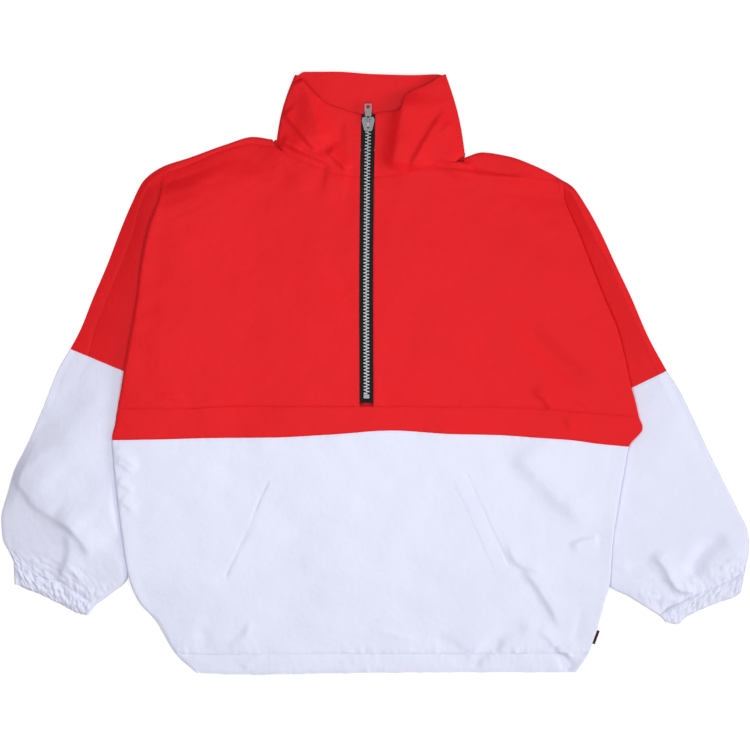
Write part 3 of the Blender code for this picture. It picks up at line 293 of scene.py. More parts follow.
# Stand collar, round from the zip's one side to the other: the neck seam and the top edge.
COLLAR = (  # foot_x, foot_y, foot_z, top_x, top_y, top_z
    (-18.0, 235.6, 8.4, -16.6, 309.6, 8.4),
    (-41.4, 238.6, 8.4, -35.4, 315.0, 9.6),
    (-65.4, 245.9, 8.4, -59.4, 324.0, 11.4),
    (-91.8, 256.1, 7.8, -75.0, 337.8, 11.4),
    (-108.6, 265.2, 6.0, -87.0, 351.0, 10.0),
    (-117.5, 278.4, 2.8, -95.4, 357.6, 6.6),
    (-108.6, 276.0, 0.8, -85.2, 361.8, 6.0),
    (-65.4, 271.2, 0.8, -47.4, 361.7, 8.6),
    (-10.2, 268.8, 0.8, -3.0, 358.8, 9.0),
    (45.0, 268.8, 0.8, 45.0, 357.6, 8.6),
    (90.6, 266.4, 0.8, 73.8, 358.8, 6.4),
    (107.2, 262.0, 4.2, 84.0, 358.2, 9.4),
    (94.0, 254.6, 8.0, 64.2, 346.8, 12.6),
    (82.2, 254.3, 8.4, 36.0, 331.8, 12.0),
    (61.8, 248.9, 8.4, 30.6, 315.6, 11.0),
    (41.4, 242.9, 8.4, 18.6, 313.2, 9.6),
    (21.0, 238.1, 8.4, 8.0, 312.8, 8.8),
    (-1.2, 235.6, 8.4, 0.4, 310.8, 8.4),
)
COLLAR_BACK = (6, 7, 8, 9, 10)  # its rows whose foot meets the back
COLLAR_FOLDS = (5, 11)  # its rows on the folds
COLLAR_FOLD_IN = 1.8
COLLAR_BOW = 3.5  # how far the folds bow outward between foot and top

# Pocket welts: the open edge and the stitched edge, each from its top to its lower end.
WELT = {
    -1: ((-126.6, -128.4, -179.4, -245.4), (-111.6, -135.4, -163.6, -252.4)),  # x0, y0, x1, y1
    1: ((109.2, -120.6, 160.2, -232.8), (94.2, -127.4, 144.6, -239.8)),
}



# Zip, relative to the slider's middle in plan.
SLIDER_Y = 298.8
CHAIN_Y = (-24.6, 297.6)
TAPE_Y = (-36.0, 310.6)

CREASES = (  # group, height, width on its left and on its right, power, fades, points
    ("front", 1.76, 16, 22, 2, (0.3, 0.2), ((-63.0, 242.4), (-43.8, 237.6), (-29.4, 234.6))),
    ("front", 1.92, 14, 24, 2, (0.3, 0.3), ((-135.0, 265.2), (-107.4, 260.4), (-83.4, 249.6), (-59.4, 241.2))),
    ("front", 1.76, 16, 24, 2, (0.3, 0.3), ((16.2, 236.4), (30.6, 240.0), (60.6, 246.0), (78.6, 253.2))),
    ("front", -3.52, 12, 14, 2, (0.3, 0.3), ((171.0, 66.0), (195.0, 36.0), (234.6, 1.2), (261.0, -22.8))),
    ("front", 3.2, 12, 2.6, 1.5, (0.3, 0.4), ((186.6, -20.4), (204.6, -32.4), (210.6, -48.0))),
    ("front", 1.76, 8, 2.4, 1.5, (0.4, 0.4), ((226.2, -50.4), (231.0, -58.8), (235.8, -70.8))),
    ("front", -2.08, 14, 14, 2, (0.3, 0.3), ((-179.4, 267.6), (-135.0, 248.4), (-89.4, 226.8))),
    ("front", 2.88, 3, 12, 1.6, (0.5, 0.3), ((75.0, 255.6), (96.6, 252.0), (120.6, 249.6))),
    ("front", 3.04, 3.2, 14, 1.6, (0.3, 0.3), ((60.6, 243.6), (102.6, 241.2), (138.6, 236.4), (207.0, 234.0))),
    ("front", 1.28, 5, 2, 1.5, (0.4, 0.4), ((-263.4, -32.4), (-245.4, -27.6), (-225.0, -33.6))),
    ("front", 1.12, 4, 2, 1.5, (0.4, 0.4), ((-178.2, -34.8), (-168.6, -27.6), (-157.8, -25.2))),
    ("front", 0.96, 5, 2, 1.5, (0.4, 0.4), ((240.6, -28.8), (250.2, -37.2), (256.2, -46.8))),
    ("front", 4.48, 34, 12, 2, (0.25, 0.25), ((160.2, -87.6), (204.6, -130.8), (258.6, -186.0))),
    ("front", 2.88, 12, 3, 1.6, (0.3, 0.3), ((156.6, -200.4), (168.6, -224.4), (204.6, -238.8))),
    ("front", 3.84, 24, 4.5, 1.6, (0.25, 0.3), ((174.6, -226.8), (204.6, -270.0), (226.2, -308.4))),
    ("front", 2.72, 2.4, 8, 1.5, (0.3, 0.1), ((231.0, -206.4), (249.0, -200.4), (267.0, -196.8))),
    ("front", -3.2, 8, 8, 1.8, (0.3, 0.3), ((186.6, -298.8), (150.6, -315.6), (124.2, -334.8))),
    ("front", -4.48, 4.5, 4.5, 1.6, (0.3, 0.2), ((156.6, -320.4), (138.6, -328.8), (121.8, -344.4), (117.0, -356.4))),
    ("front", -3.2, 7, 7, 1.8, (0.4, 0.2), ((66.6, -312.0), (97.8, -334.8), (114.6, -354.0))),
    ("front", 1.76, 2.6, 8, 1.5, (0.3, 0.1), ((-283.8, -114.0), (-298.2, -103.2), (-313.8, -94.8))),
    ("front", 1.76, 2.6, 7, 1.5, (0.3, 0.1), ((-288.6, -121.2), (-298.2, -111.6), (-310.2, -104.4))),
    ("front", 1.76, 2.6, 7, 1.5, (0.3, 0.1), ((-288.6, -142.8), (-298.2, -135.6), (-309.0, -129.6))),
    ("front", 1.44, 3, 8, 1.5, (0.3, 0.1), ((-287.4, -166.8), (-295.8, -158.4), (-305.4, -152.4))),
    ("front", -1.6, 7, 9, 1.6, (0.3, 0.3), ((-233.4, -332.4), (-191.4, -330.0), (-163.8, -315.6), (-153.0, -306.0))),
    ("front", -4.48, 4, 5, 1.6, (0.2, 0.1), ((211.8, -327.6), (222.6, -339.6), (229.8, -354.0))),
    ("front", 2.56, 3, 3, 1.8, (0.2, 0.2), ((214.2, -333.6), (229.8, -334.8), (235.8, -342.0))),
    ("front", 1.92, 10, 3, 1.6, (0.3, 0.3), ((193.8, -306.0), (210.6, -320.4), (217.8, -332.4))),
    ("front", 1.92, 5, 2.5, 1.5, (0.2, 0.2), ((214.2, -334.8), (232.2, -338.4), (226.2, -354.0))),
    ("front", -3.84, 5, 5, 1.6, (0.3, 0.1), ((223.8, -339.6), (231.0, -348.0), (234.6, -356.4))),
    ("front", 1.6, 7, 3, 1.6, (0.35, 0.35), ((52.2, 258.0), (78.6, 254.4), (124.2, 246.0))),
    ("front", 1.28, 8, 4, 1.6, (0.35, 0.4), ((54.6, 243.6), (85.8, 241.2), (126.6, 231.6))),
    ("front", -2.08, 6, 4, 1.6, (0.3, 0.2), ((222.6, -327.6), (229.8, -339.6), (237.0, -354.0))),
    ("front", -1.44, 9, 5, 1.6, (0.4, 0.3), ((252.6, -272.4), (244.2, -302.4), (234.6, -332.4))),
    ("front", 1.44, 3, 9, 1.6, (0.3, 0.3), ((-179.4, -327.6), (-157.8, -315.6), (-148.2, -294.0))),
    ("front", 1.28, 3, 6, 1.6, (0.3, 0.2), ((-127.8, -334.8), (-142.2, -342.0), (-159.0, -356.4))),
    ("front", -1.28, 8, 8, 1.8, (0.3, 0.3), ((-214.2, -303.6), (-204.6, -320.4), (-209.4, -334.8))),
    ("front", 1.12, 3, 8, 1.6, (0.3, 0.3), ((-3.0, -303.6), (24.6, -313.2), (54.6, -320.4))),
    ("front", -0.96, 1.1, 1.1, 2, (0.02, 0.02), ((-126.6, -128.4), (-131.4, -136.8), (-139.8, -154.8), (-147.0, -176.4), (-156.6, -196.8), (-165.0, -214.8), (-173.4, -231.6), (-179.4, -244.8))),
    ("front", -1.2, 1.2, 1.2, 2, (0.02, 0.02), ((108.6, -120.0), (114.6, -132.0), (119.4, -144.0), (125.4, -157.2), (132.6, -172.8), (138.6, -186.0), (145.8, -200.4), (153.0, -214.8), (160.2, -230.4))),
    ("collar", 5.06, 10, 20, 1.8, (0.02, 0.2), ((-89.4, 351.6), (-78.6, 327.6), (-71.4, 301.2), (-63.0, 270.0))),
    ("collar", -1.84, 9, 9, 2, (0.1, 0.2), ((-65.4, 332.4), (-55.8, 313.2), (-49.8, 291.6), (-46.2, 267.6))),
    ("collar", 3.45, 12, 2.8, 1.5, (0.08, 0.15), ((-109.8, 313.2), (-93.0, 294.0), (-79.8, 277.2), (-67.8, 265.2))),
    ("collar", 2.99, 9, 2.8, 1.5, (0.1, 0.2), ((-113.4, 277.2), (-89.4, 266.4), (-67.8, 258.0), (-51.0, 250.8))),
    ("collar", 2.07, 8, 2.4, 1.5, (0.1, 0.3), ((-120.6, 284.4), (-101.4, 274.8), (-85.8, 265.2))),
    ("collar", -3.68, 5, 5, 1.6, (0.2, 0.3), ((-127.8, 282.0), (-124.2, 270.0), (-117.0, 260.4))),
    ("collar", 2.07, 7, 2.6, 1.6, (0.2, 0.2), ((-58.2, 267.6), (-43.8, 255.6), (-34.2, 241.2))),
    ("collar", 8.05, 30, 9, 1.8, (0.22, 0.15), ((36.6, 339.6), (33.0, 312.0), (28.2, 285.6), (24.6, 265.2), (22.2, 241.2))),
    ("collar", 3.45, 16, 2.6, 1.5, (0.35, 0.15), ((88.2, 322.8), (61.8, 280.8), (47.4, 255.6), (41.4, 241.2))),
    ("collar", 1.95, 9, 2.6, 1.5, (0.4, 0.4), ((94.2, 302.4), (84.6, 294.0), (76.2, 282.0))),
    ("collar", -1.38, 6, 6, 1.8, (0.3, 0.3), ((-37.8, 313.2), (-41.4, 285.6), (-34.2, 255.6))),
    ("collar", 1.15, 7, 2.5, 1.6, (0.3, 0.2), ((-63.0, 267.6), (-46.2, 255.6), (-29.4, 241.2))),
    ("sleeve_left", 4.94, 70, 32, 2, (0.25, 0.25), ((-442.2, -80.4), (-403.8, -126.0), (-375.0, -152.4), (-348.6, -181.2), (-329.4, -219.6))),
    ("sleeve_left", 2.85, 26, 5, 1.8, (0.12, 0.12), ((-439.8, -116.4), (-418.2, -142.8), (-406.2, -157.2), (-393.0, -166.8), (-377.4, -176.4), (-365.4, -184.8), (-355.8, -195.6))),
    ("sleeve_left", 2.85, 22, 5, 1.7, (0.25, 0.2), ((-387.0, -169.2), (-372.6, -177.6), (-360.6, -188.4), (-351.0, -201.6), (-337.8, -220.8))),
    ("sleeve_left", 2.66, 20, 4.5, 1.8, (0.2, 0.2), ((-370.2, -189.6), (-365.4, -207.6), (-367.8, -224.4), (-373.8, -238.8), (-378.6, -253.2))),
    ("sleeve_left", 1.14, 4, 2.6, 1.5, (0.3, 0.3), ((-375.0, -231.6), (-365.4, -235.2), (-357.0, -243.6), (-353.4, -254.4))),
    ("sleeve_left", 0.95, 3, 3, 1.5, (0.3, 0.3), ((-363.0, -255.6), (-347.4, -260.4), (-335.4, -259.2))),
    ("sleeve_left", 0.66, 4, 3, 1.5, (0.3, 0.3), ((-415.8, -210.0), (-399.0, -214.8), (-382.2, -212.4))),
    ("sleeve_left", 0.66, 4, 3, 1.5, (0.3, 0.3), ((-423.0, -219.6), (-406.2, -225.6), (-389.4, -225.6))),
    ("sleeve_right", 4.93, 12, 3.6, 1.6, (0.2, 0.2), ((330.6, -213.6), (341.4, -224.4), (348.6, -234.0), (353.4, -244.8), (359.4, -254.4), (367.8, -260.4), (378.6, -261.6), (388.2, -265.2))),
    ("sleeve_right", -6.38, 11, 9, 2, (0.3, 0.2), ((426.6, -198.0), (400.2, -207.6), (387.0, -224.4), (377.4, -248.4))),
    ("sleeve_right", 1.74, 2.6, 4, 1.5, (0.3, 0.3), ((439.8, -213.6), (427.8, -223.2), (412.2, -238.8))),
    ("sleeve_right", 1.45, 2.6, 4, 1.5, (0.3, 0.3), ((443.4, -232.8), (435.0, -240.0), (426.6, -247.2))),
    ("sleeve_right", -1.45, 6, 7, 1.8, (0.3, 0.3), ((297.0, -231.6), (318.6, -229.2), (337.8, -226.8))),
    ("sleeve_right", -1.16, 5, 5, 1.8, (0.3, 0.3), ((281.4, -235.2), (297.0, -241.2), (321.0, -244.8))),
    ("sleeve_right", 1.3, 4, 2.6, 1.5, (0.3, 0.3), ((328.2, -266.4), (342.6, -271.2), (353.4, -270.0), (365.4, -274.8))),
)


# ---------------------------------------------------------------- curves through the tables
def curve(ts, vs, t):
    """Monotone cubic through (ts, vs), so that it never swings past a row of its table."""
    ts, vs = np.asarray(ts, float), np.asarray(vs, float)
    t = np.clip(np.asarray(t, float), ts[0], ts[-1])
    h = np.diff(ts)
    d = np.diff(vs) / h
    m = np.empty(len(ts))
    same = d[:-1] * d[1:] > 0
    m[1:-1] = np.where(same, 2 * d[:-1] * d[1:] / np.where(same, d[:-1] + d[1:], 1), 0)
    m[0], m[-1] = d[0], d[-1]
    i = np.clip(np.searchsorted(ts, t, side="right") - 1, 0, len(h) - 1)
    s = (t - ts[i]) / h[i]
    return (
        vs[i] * (1 + 2 * s) * (1 - s) ** 2
        + h[i] * m[i] * s * (1 - s) ** 2
        + vs[i + 1] * s * s * (3 - 2 * s)
        + h[i] * m[i + 1] * s * s * (s - 1)
    )


def column(rows, c):
    return [row[c] for row in rows]


def at_row(rows, k, c):
    return curve(range(len(rows)), column(rows, c), k)


def at_x(rows, x):
    return curve(column(rows, 0), column(rows, 1), x)


def ease(t):
    t = np.clip(t, 0.0, 1.0)
    return t * t * (3 - 2 * t)


def mix(a, b, t):
    return a + (b - a) * t


def unit(v):
    v = np.asarray(v, float)
    return v / np.linalg.norm(v, axis=-1, keepdims=True)


def zip_x(y):
    rows = ZIP[::-1]
    return curve(column(rows, 0), column(rows, 1), y)


def edge(side, j):
    return np.stack([at_row(SIDE[side], j, 0), at_row(SIDE[side], j, 1)], -1)


def seam(side, k):
    return np.stack([at_row(SEAM[side], k, 0), at_row(SEAM[side], k, 1)], -1)


def outline(side, k):
    return np.stack([at_row(SEAM[side], k, 2), at_row(SEAM[side], k, 3)], -1)


def outward(side, j):
    level = np.array([float(side), 0.0])
    if j > SLEEVE_SEAM + 2:
        return level
    k = min(j, SLEEVE_SEAM)
    across = unit(seam(side, k + SHOULDER_END + 1) - edge(side, k))
    return unit(mix(across, level, ease((j - SLEEVE_SEAM) / 2)))


def levels(side, j):
    lift = at_row(SIDE[side], j, 3)
    low = SLEEVE_UP[side] if j <= SLEEVE_SEAM else GROUND
    tuck_z = mix(low, TUCK_Z, lift)
    rise = mix(*FOLD_RISE[side][:2], float(ease((j - SLEEVE_SEAM + 1) / 3)))
    rise = mix(rise, FOLD_RISE[side][2], float(ease((j - 13.5) / 2)))
    if j <= SLEEVE_SEAM:
        rise *= min(1.0, 0.7 * j)
    return low, tuck_z, tuck_z + rise


def arm_z(side, k):
    """Mid-height of the cloth along the shoulder and overarm seam."""
    return float(curve(range(len(ARM_Z[side])), ARM_Z[side], k))


ARC, TUCK_STEPS, VALLEY, RAMP = 9, 7, 6, 8  # points round each bend of a folded side
SLEEVE_COLUMNS = 20
FOLD_POINTS = ARC + TUCK_STEPS


def side_section(side, j, kind):
    """(n, 3) points of the folded side at row j: the fold, the tuck, and then the sleeve's front or the ramp."""
    low, tuck_z, top = levels(side, j)
    tuck = float(at_row(SIDE[side], j, 2))
    r, inset = (top - tuck_z) / 2, WALL / 2
    back = (tuck_z - low) / 2 if kind == "sleeve" else max(0.3, (tuck_z - SLEEVE_Z) / 2)
    below = float(ease((j - SLEEVE_SEAM + 1) / 3))
    deep = min(mix(*FOLD_DEEP[side], below), 0.3 + 0.35 * tuck)
    hollow = min(back, 1.1)
    turn = np.linspace(math.pi / 2, -math.pi / 2, ARC)
    w = list(-inset - deep + deep * np.cos(turn))
    z = list(tuck_z + r + r * np.sin(turn))
    w += list(np.linspace(w[-1], -tuck + hollow, TUCK_STEPS + 1)[1:])
    z += [tuck_z] * TUCK_STEPS
    if kind == "ramp":
        t = np.linspace(0, 1, RAMP + 1)[1:]
        w += list(mix(-tuck + hollow, -tuck - SLOPE, t))
        z += list(mix(tuck_z, GROUND, ease(t)))
    else:
        turn = np.linspace(math.pi / 2, 3 * math.pi / 2, VALLEY)[1:]
        w += list(-tuck + hollow + hollow * np.cos(turn))
        z += list(tuck_z - back + back * np.sin(turn))
        reach = np.linalg.norm(seam(side, j + SHOULDER_END + 1) - edge(side, j)) - GAP
        out = np.linspace(w[-1], reach, SLEEVE_COLUMNS + 1)[1:]
        t = np.clip((out + 4.0) / (reach + 4.0), 0, 1)
        seam_z = arm_z(side, j + SHOULDER_END + 1)
        # Under the body the sleeve stays below the tuck, and beside the body it may rise.
        lean = ARM_LEAN[side] * np.sin(math.pi * t)
        w += list(out)
        z += list(mix(low, seam_z, t**0.85) + lean)
    w, z = np.array(w, float), np.array(z, float)
    p = np.column_stack([edge(side, j)[None] + w[:, None] * outward(side, j)[None], z])
    if j < 1 and kind == "sleeve":
        # On the shoulder seam there is no pleat yet, and the cloth runs straight on to the sleeve.
        t = np.linspace(0, 1, len(w))
        a, b = edge(side, j), seam(side, j + SHOULDER_END + 1)
        chord = mix(seam(side, SHOULDER_END), seam(side, SHOULDER_END + 1), t[:, None])
        bulge = seam(side, SHOULDER_END + t) - chord
        flat = mix(a, b, t[:, None]) + (1 - j) * bulge
        flat = np.column_stack([flat, mix(arm_z(side, SHOULDER_END), arm_z(side, SHOULDER_END + 1 + j), t)])
        p = mix(flat, p, float(ease(j)))
    return p





# ---------------------------------------------------------------- fields over the plan
class Line:
    """A line in plan with the distance of many points from it."""

    def __init__(self, points, smooth=True, step=4.0):
        p = np.asarray(points, float)
        chord = np.concatenate([[0], np.cumsum(np.linalg.norm(np.diff(p, axis=0), axis=1))])
        self.length = chord[-1]
        if smooth and len(p) > 2:
            n = max(int(self.length / step), 8)
            t = np.linspace(0, chord[-1], n)
            p = np.column_stack([catmull(chord, p[:, c], t) for c in (0, 1)])
            chord = np.concatenate([[0], np.cumsum(np.linalg.norm(np.diff(p, axis=0), axis=1))])
        self.p, self.chord = p, chord / chord[-1]

    def near(self, x, y, reach):
        """(signed distance, share of the length) for the points within reach, and their mask."""
        lo, hi = self.p.min(0) - reach, self.p.max(0) + reach
        mask = (x > lo[0]) & (x < hi[0]) & (y > lo[1]) & (y < hi[1])
        q = np.column_stack([x[mask], y[mask]])
        best = np.full(len(q), 1e9)
        sign, share = np.ones(len(q)), np.zeros(len(q))
        for i in range(len(self.p) - 1):
            a, b = self.p[i], self.p[i + 1]
            ab = b - a
            t = np.clip(((q - a) @ ab) / max(ab @ ab, 1e-12), 0, 1)
            off = q - (a + t[:, None] * ab)
            d = np.hypot(off[:, 0], off[:, 1])
            better = d < best
            best = np.where(better, d, best)
            sign = np.where(better, np.sign(ab[0] * off[:, 1] - ab[1] * off[:, 0]), sign)
            share = np.where(better, mix(self.chord[i], self.chord[i + 1], t), share)
        return np.where(sign == 0, 1, sign) * best, share, mask


def catmull(ts, vs, t):
    """A smooth curve through (ts, vs) that may swing a little."""
    ts, vs, t = np.asarray(ts, float), np.asarray(vs, float), np.asarray(t, float)
    m = np.gradient(vs, ts)
    i = np.clip(np.searchsorted(ts, t, side="right") - 1, 0, len(ts) - 2)
    h = ts[i + 1] - ts[i]
    s = (t - ts[i]) / h
    return (
        vs[i] * (1 + 2 * s) * (1 - s) ** 2
        + h * m[i] * s * (1 - s) ** 2
        + vs[i + 1] * s * s * (3 - 2 * s)
        + h * m[i + 1] * s * s * (s - 1)
    )


def noise(x, y, size, seed, stretch=1.0, turn=0.0):
    """Smooth noise from -1 to 1 with features about size wide, longer by stretch along the direction turn."""
    c, s = math.cos(turn), math.sin(turn)
    u = (x * c + y * s) / (size * stretch) + 1000.0
    v = (-x * s + y * c) / size + 1000.0
    grid = np.random.RandomState(seed).uniform(-1, 1, (257, 257))
    iu, iv = np.floor(u).astype(int), np.floor(v).astype(int)
    fu, fv = u - iu, v - iv
    fu, fv = fu * fu * (3 - 2 * fu), fv * fv * (3 - 2 * fv)
    iu, iv = iu % 256, iv % 256
    a, b = grid[iu, iv], grid[iu + 1, iv]
    c2, d = grid[iu, iv + 1], grid[iu + 1, iv + 1]
    return mix(mix(a, b, fu), mix(c2, d, fu), fv)


def wander(t, size, seed):
    """Smooth noise from -1 to 1 along a line."""
    return noise(np.asarray(t, float), np.full(np.shape(t), 7.3), size, seed)


# ---------------------------------------------------------------- creases, gathers and puckers
def group_is_form(i):
    return CREASES[i][0] == "form"


class Folds:
    """The creases of one group of pieces, summed over many points."""

    def __init__(self, group):
        self.rows = []
        for i, (name, height, left, right, power, fades, points) in enumerate(CREASES):
            if name == group:
                self.rows.append((height, left, right, power, fades, Line(points), i))

    def lift(self, x, y):
        x, y = np.asarray(x, float), np.asarray(y, float)
        shape = x.shape
        x, y = x.ravel(), y.ravel()
        total = np.zeros(len(x))
        for height, left, right, power, (fade0, fade1), line, seed in self.rows:
            d, share, mask = line.near(x, y, 3.2 * max(left, right))
            if not mask.any():
                continue
            along = share * line.length
            broad = group_is_form(seed)
            if not broad:
                d = d + 0.2 * min(left, right, 8.0) * wander(along, 17.0, 300 + seed)
            width = np.where(d > 0, left, right)
            g = np.exp(-((np.abs(d) / width) ** power))
            ends = ease(share / max(fade0, 1e-6)) * ease((1 - share) / max(fade1, 1e-6))
            uneven = 1 if broad else 1 + 0.22 * wander(along, 21.0, 500 + seed)
            total[mask] += height * g * ends * uneven
        return total.reshape(shape)





# ---------------------------------------------------------------- building
class Cloth:
    """Grids of points joined into one sheet, by the middle of its wall."""

    def __init__(self):
        self.points, self.faces, self.count = [], [], 0

    def grid(self, p, first=None, closed=False):
        """Adds rows x columns points. first gives points that are there already as the first column."""
        p = np.asarray(p, float)
        rows, cols = p.shape[:2]
        skip = 0 if first is None else 1
        ids = np.empty((rows, cols), int)
        if first is not None:
            ids[:, 0] = first
        n = rows * (cols - skip)
        ids[:, skip:] = self.count + np.arange(n).reshape(rows, cols - skip)
        self.points.append(p[:, skip:].reshape(-1, 3))
        self.count += n
        around = np.column_stack([ids, ids[:, :1]]) if closed else ids
        quads = np.stack([around[:-1, :-1], around[1:, :-1], around[1:, 1:], around[:-1, 1:]], -1)
        self.faces += quads.reshape(-1, 4).tolist()
        return ids

    def add(self, points, faces):
        points = np.asarray(points, float)
        ids = self.count + np.arange(len(points))
        self.points.append(points)
        self.count += len(points)
        self.faces += [[int(ids[v]) for v in f] for f in faces]
        return ids

    def arrays(self):
        return np.concatenate(self.points), self.faces


def metres(p):
    p = np.asarray(p, float)
    return np.stack([(p[..., 0] - CENTRE[0]) * MM, (p[..., 1] - CENTRE[1]) * MM, p[..., 2] * MM], -1)


def same_way(points, faces, weld=1e-4):
    """The same faces, all turned the same way round, with coinciding points made one."""
    bm = bmesh.new()
    mesh = bpy.data.meshes.new("turned")
    mesh.from_pydata(np.asarray(points).tolist(), [], faces)
    bm.from_mesh(mesh)
    bmesh.ops.remove_doubles(bm, verts=bm.verts, dist=weld)
    bmesh.ops.recalc_face_normals(bm, faces=bm.faces)
    bm.verts.ensure_lookup_table()
    bm.verts.index_update()
    points = np.array([v.co[:] for v in bm.verts])
    faces = [[v.index for v in f.verts] for f in bm.faces]
    bm.free()
    bpy.data.meshes.remove(mesh)
    return points, faces


def point_normals(points, faces):
    normals = np.zeros_like(points)
    for size in (3, 4):
        f = np.array([face for face in faces if len(face) == size])
        if not len(f):
            continue
        a, b = points[f[:, 2]] - points[f[:, 0]], points[f[:, -1]] - points[f[:, 1]]
        if size == 3:
            b = points[f[:, 1]] - points[f[:, 0]]
            n = np.cross(b, a)
        else:
            n = np.cross(a, b)
        for c in range(size):
            np.add.at(normals, f[:, c], n)
    return normals / np.maximum(np.linalg.norm(normals, axis=1, keepdims=True), 1e-12)


def walled(points, faces, wall):
    """Both sides of a sheet and its rim, and the edges between side and rim."""
    normals = point_normals(points, faces)
    count = len(points)
    both = np.concatenate([points + normals * wall / 2, points - normals * wall / 2])
    out = [list(f) for f in faces] + [[v + count for v in f[::-1]] for f in faces]
    used = {}
    for f in faces:
        for a, b in zip(f, f[1:] + f[:1]):
            used[(a, b)] = used.get((a, b), 0) + 1
    rim = [(a, b) for (a, b) in used if (b, a) not in used]
    out += [[b, a, a + count, b + count] for a, b in rim]
    sharp = {tuple(sorted(e)) for e in rim} | {tuple(sorted((a + count, b + count))) for a, b in rim}
    return both, out, sharp, len(rim)


def add_mesh(name, points, faces, material, smooth=True):
    mesh = bpy.data.meshes.new(name)
    mesh.from_pydata(np.asarray(points).tolist(), [], faces)
    mesh.materials.append(material)
    if smooth:
        mesh.shade_smooth()
    obj = bpy.data.objects.new(name, mesh)
    bpy.context.scene.collection.objects.link(obj)
    return obj


def add_cloth(name, node, slot, cloth, wall=WALL):
    points, faces = same_way(*cloth.arrays())
    middle[name] = (points, faces)
    both, out, sharp, rims = walled(points, faces, wall)
    obj = add_mesh(name, metres(both), out, materials[slot])
    ends = np.zeros(len(obj.data.edges) * 2, np.int32)
    obj.data.edges.foreach_get("vertices", ends)
    flags = [tuple(sorted(e)) in sharp for e in ends.reshape(-1, 2).tolist()]
    attribute = obj.data.attributes.new("sharp_edge", "BOOLEAN", "EDGE")
    attribute.data.foreach_set("value", flags)
    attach(obj, BODY)
    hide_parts(node)
    return obj


def top_tree(names, wall=WALL):
    """A tree to drop points on to the upper side of some sheets."""
    points, faces, count = [], [], 0
    for name in names:
        p, f = middle[name]
        points.append(p + np.array([0, 0, wall / 2]))
        faces += [[v + count for v in face] for face in f]
        count += len(p)
    return BVHTree.FromPolygons(np.concatenate(points).tolist(), faces)


def drop(tree, x, y, default):
    hit = tree.ray_cast(Vector((float(x), float(y), 60.0)), Vector((0.0, 0.0, -1.0)))
    return default if hit[0] is None else hit[0].z


middle = {}


# ---------------------------------------------------------------- stations
def stations(j0, j1, sides=(-1, 1), cell=None):
    """Rows of SIDE from j0 to j1, about CELL apart on the ground, closer beside the seams at both ends."""
    js = [float(j0)]
    marks = list(range(int(j0), int(j1) + 1))
    for a, b in zip(marks, marks[1:]):
        length = max(np.linalg.norm(edge(s, b) - edge(s, a)) for s in sides)
        js += list(np.linspace(a, b, max(1, math.ceil(length / (cell or CELL))) + 1)[1:])
    first, last = js[1] - js[0], js[-1] - js[-2]
    js += [j0 + t * first for t in (0.25, 0.55)] + [j1 - t * last for t in (0.25, 0.55)]
    return sorted(js)


SEAM_DROP = 0.55  # how far a panel's edge turns down into its seam
SEAM_WIDE = 1.7


def seam_dip(distance, deep=SEAM_DROP, wide=SEAM_WIDE):
    return -deep * np.exp(-((np.abs(distance) / wide) ** 1.6))


def puckers(x, distance, seed, size=6.0, reach=9.0, height=0.3):
    """Short uneven folds across a seam."""
    wave = noise(distance, x, size * 0.5, seed, 5.0) + 0.6 * noise(distance, x, size, seed + 1, 4.0)
    patch = 0.35 + 0.65 * ease(0.5 + 0.9 * wander(x, 34.0, seed + 2))
    return height * wave * patch * np.exp(-((np.abs(distance) / reach) ** 1.3))


def flutter(x, y, seed=11):
    """The slight unevenness of cloth that lies loose."""
    return (
        1.2 * noise(x, y, 46.0, seed, 1.5, 0.9)
        + 0.75 * noise(x, y, 23.0, seed + 1, 1.7, -0.5)
        + 0.3 * noise(x, y, 11.0, seed + 2, 1.6, 0.4)
    )


FRONT, FORM = Folds("front"), Folds("form")


def smooth_tops(side):
    """y and height of the body's edge, smoothed along it, for the cloth well inside the edge."""
    js = np.linspace(0, HEM_EDGE, 400)
    ys = edge(side, js)[:, 1]
    tops = np.array([levels(side, j)[2] for j in js])
    at = np.arange(-400.0, 300.0, 4.0)
    near = np.exp(-0.5 * ((at[:, None] - ys[None]) / 30.0) ** 2) * np.abs(np.gradient(ys))[None]
    return at, (near * tops[None]).sum(1) / near.sum(1)


SMOOTH_TOPS = {side: smooth_tops(side) for side in (-1, 1)}


def front_height(side, j, distance, top, rest):
    clear = float(at_row(SIDE[side], j, 2)) + EDGE_CLEAR
    shoulder = max(top - EDGE_DIP, min(top, float(np.min(rest))))
    smooth = float(np.interp(edge(side, j)[1], *SMOOTH_TOPS[side])) - EDGE_DIP
    above = float(np.logaddexp(2 * shoulder, 2 * smooth) / 2) - 0.34
    shoulder = mix(shoulder, max(shoulder, above), float(ease((j - 1) / 2)))
    fall = mix(EDGE_FALL, HEM_FALL[side], float(ease((j - 13.0) / 2)))
    inner = mix(shoulder, rest, ease((distance - clear) / fall))
    return np.where(distance < clear, mix(top, shoulder, ease(distance / clear)), inner)


def zip_calm(x, y):
    """0 beside the zip, where the cloth is held level, and 1 away from it."""
    near = ease((np.abs(x - zip_x(y)) - ZIP_HALF - 1.0) / 18.0)
    below = ease((TAPE_Y[0] - 4.0 - y) / 14.0)
    return np.maximum(near, below)


def front_lift(x, y):
    wide = ease((np.abs(x - zip_x(y)) - ZIP_HALF) / 70.0)
    below = ease((TAPE_Y[0] - 2.0 - y) / 60.0)
    return (FRONT.lift(x, y) + flutter(x, y)) * zip_calm(x, y) + FORM.lift(x, y) * np.maximum(wide, below)


def fold_lift(p):
    """The folded side's points with the front's creases carried round the edge and fading under it."""
    weight = 0.5 + 0.5 * np.cos(np.linspace(0, math.pi, ARC))
    out = p.copy()
    out[:ARC, 2] += front_lift(p[:ARC, 0], p[:ARC, 1]) * weight
    return out


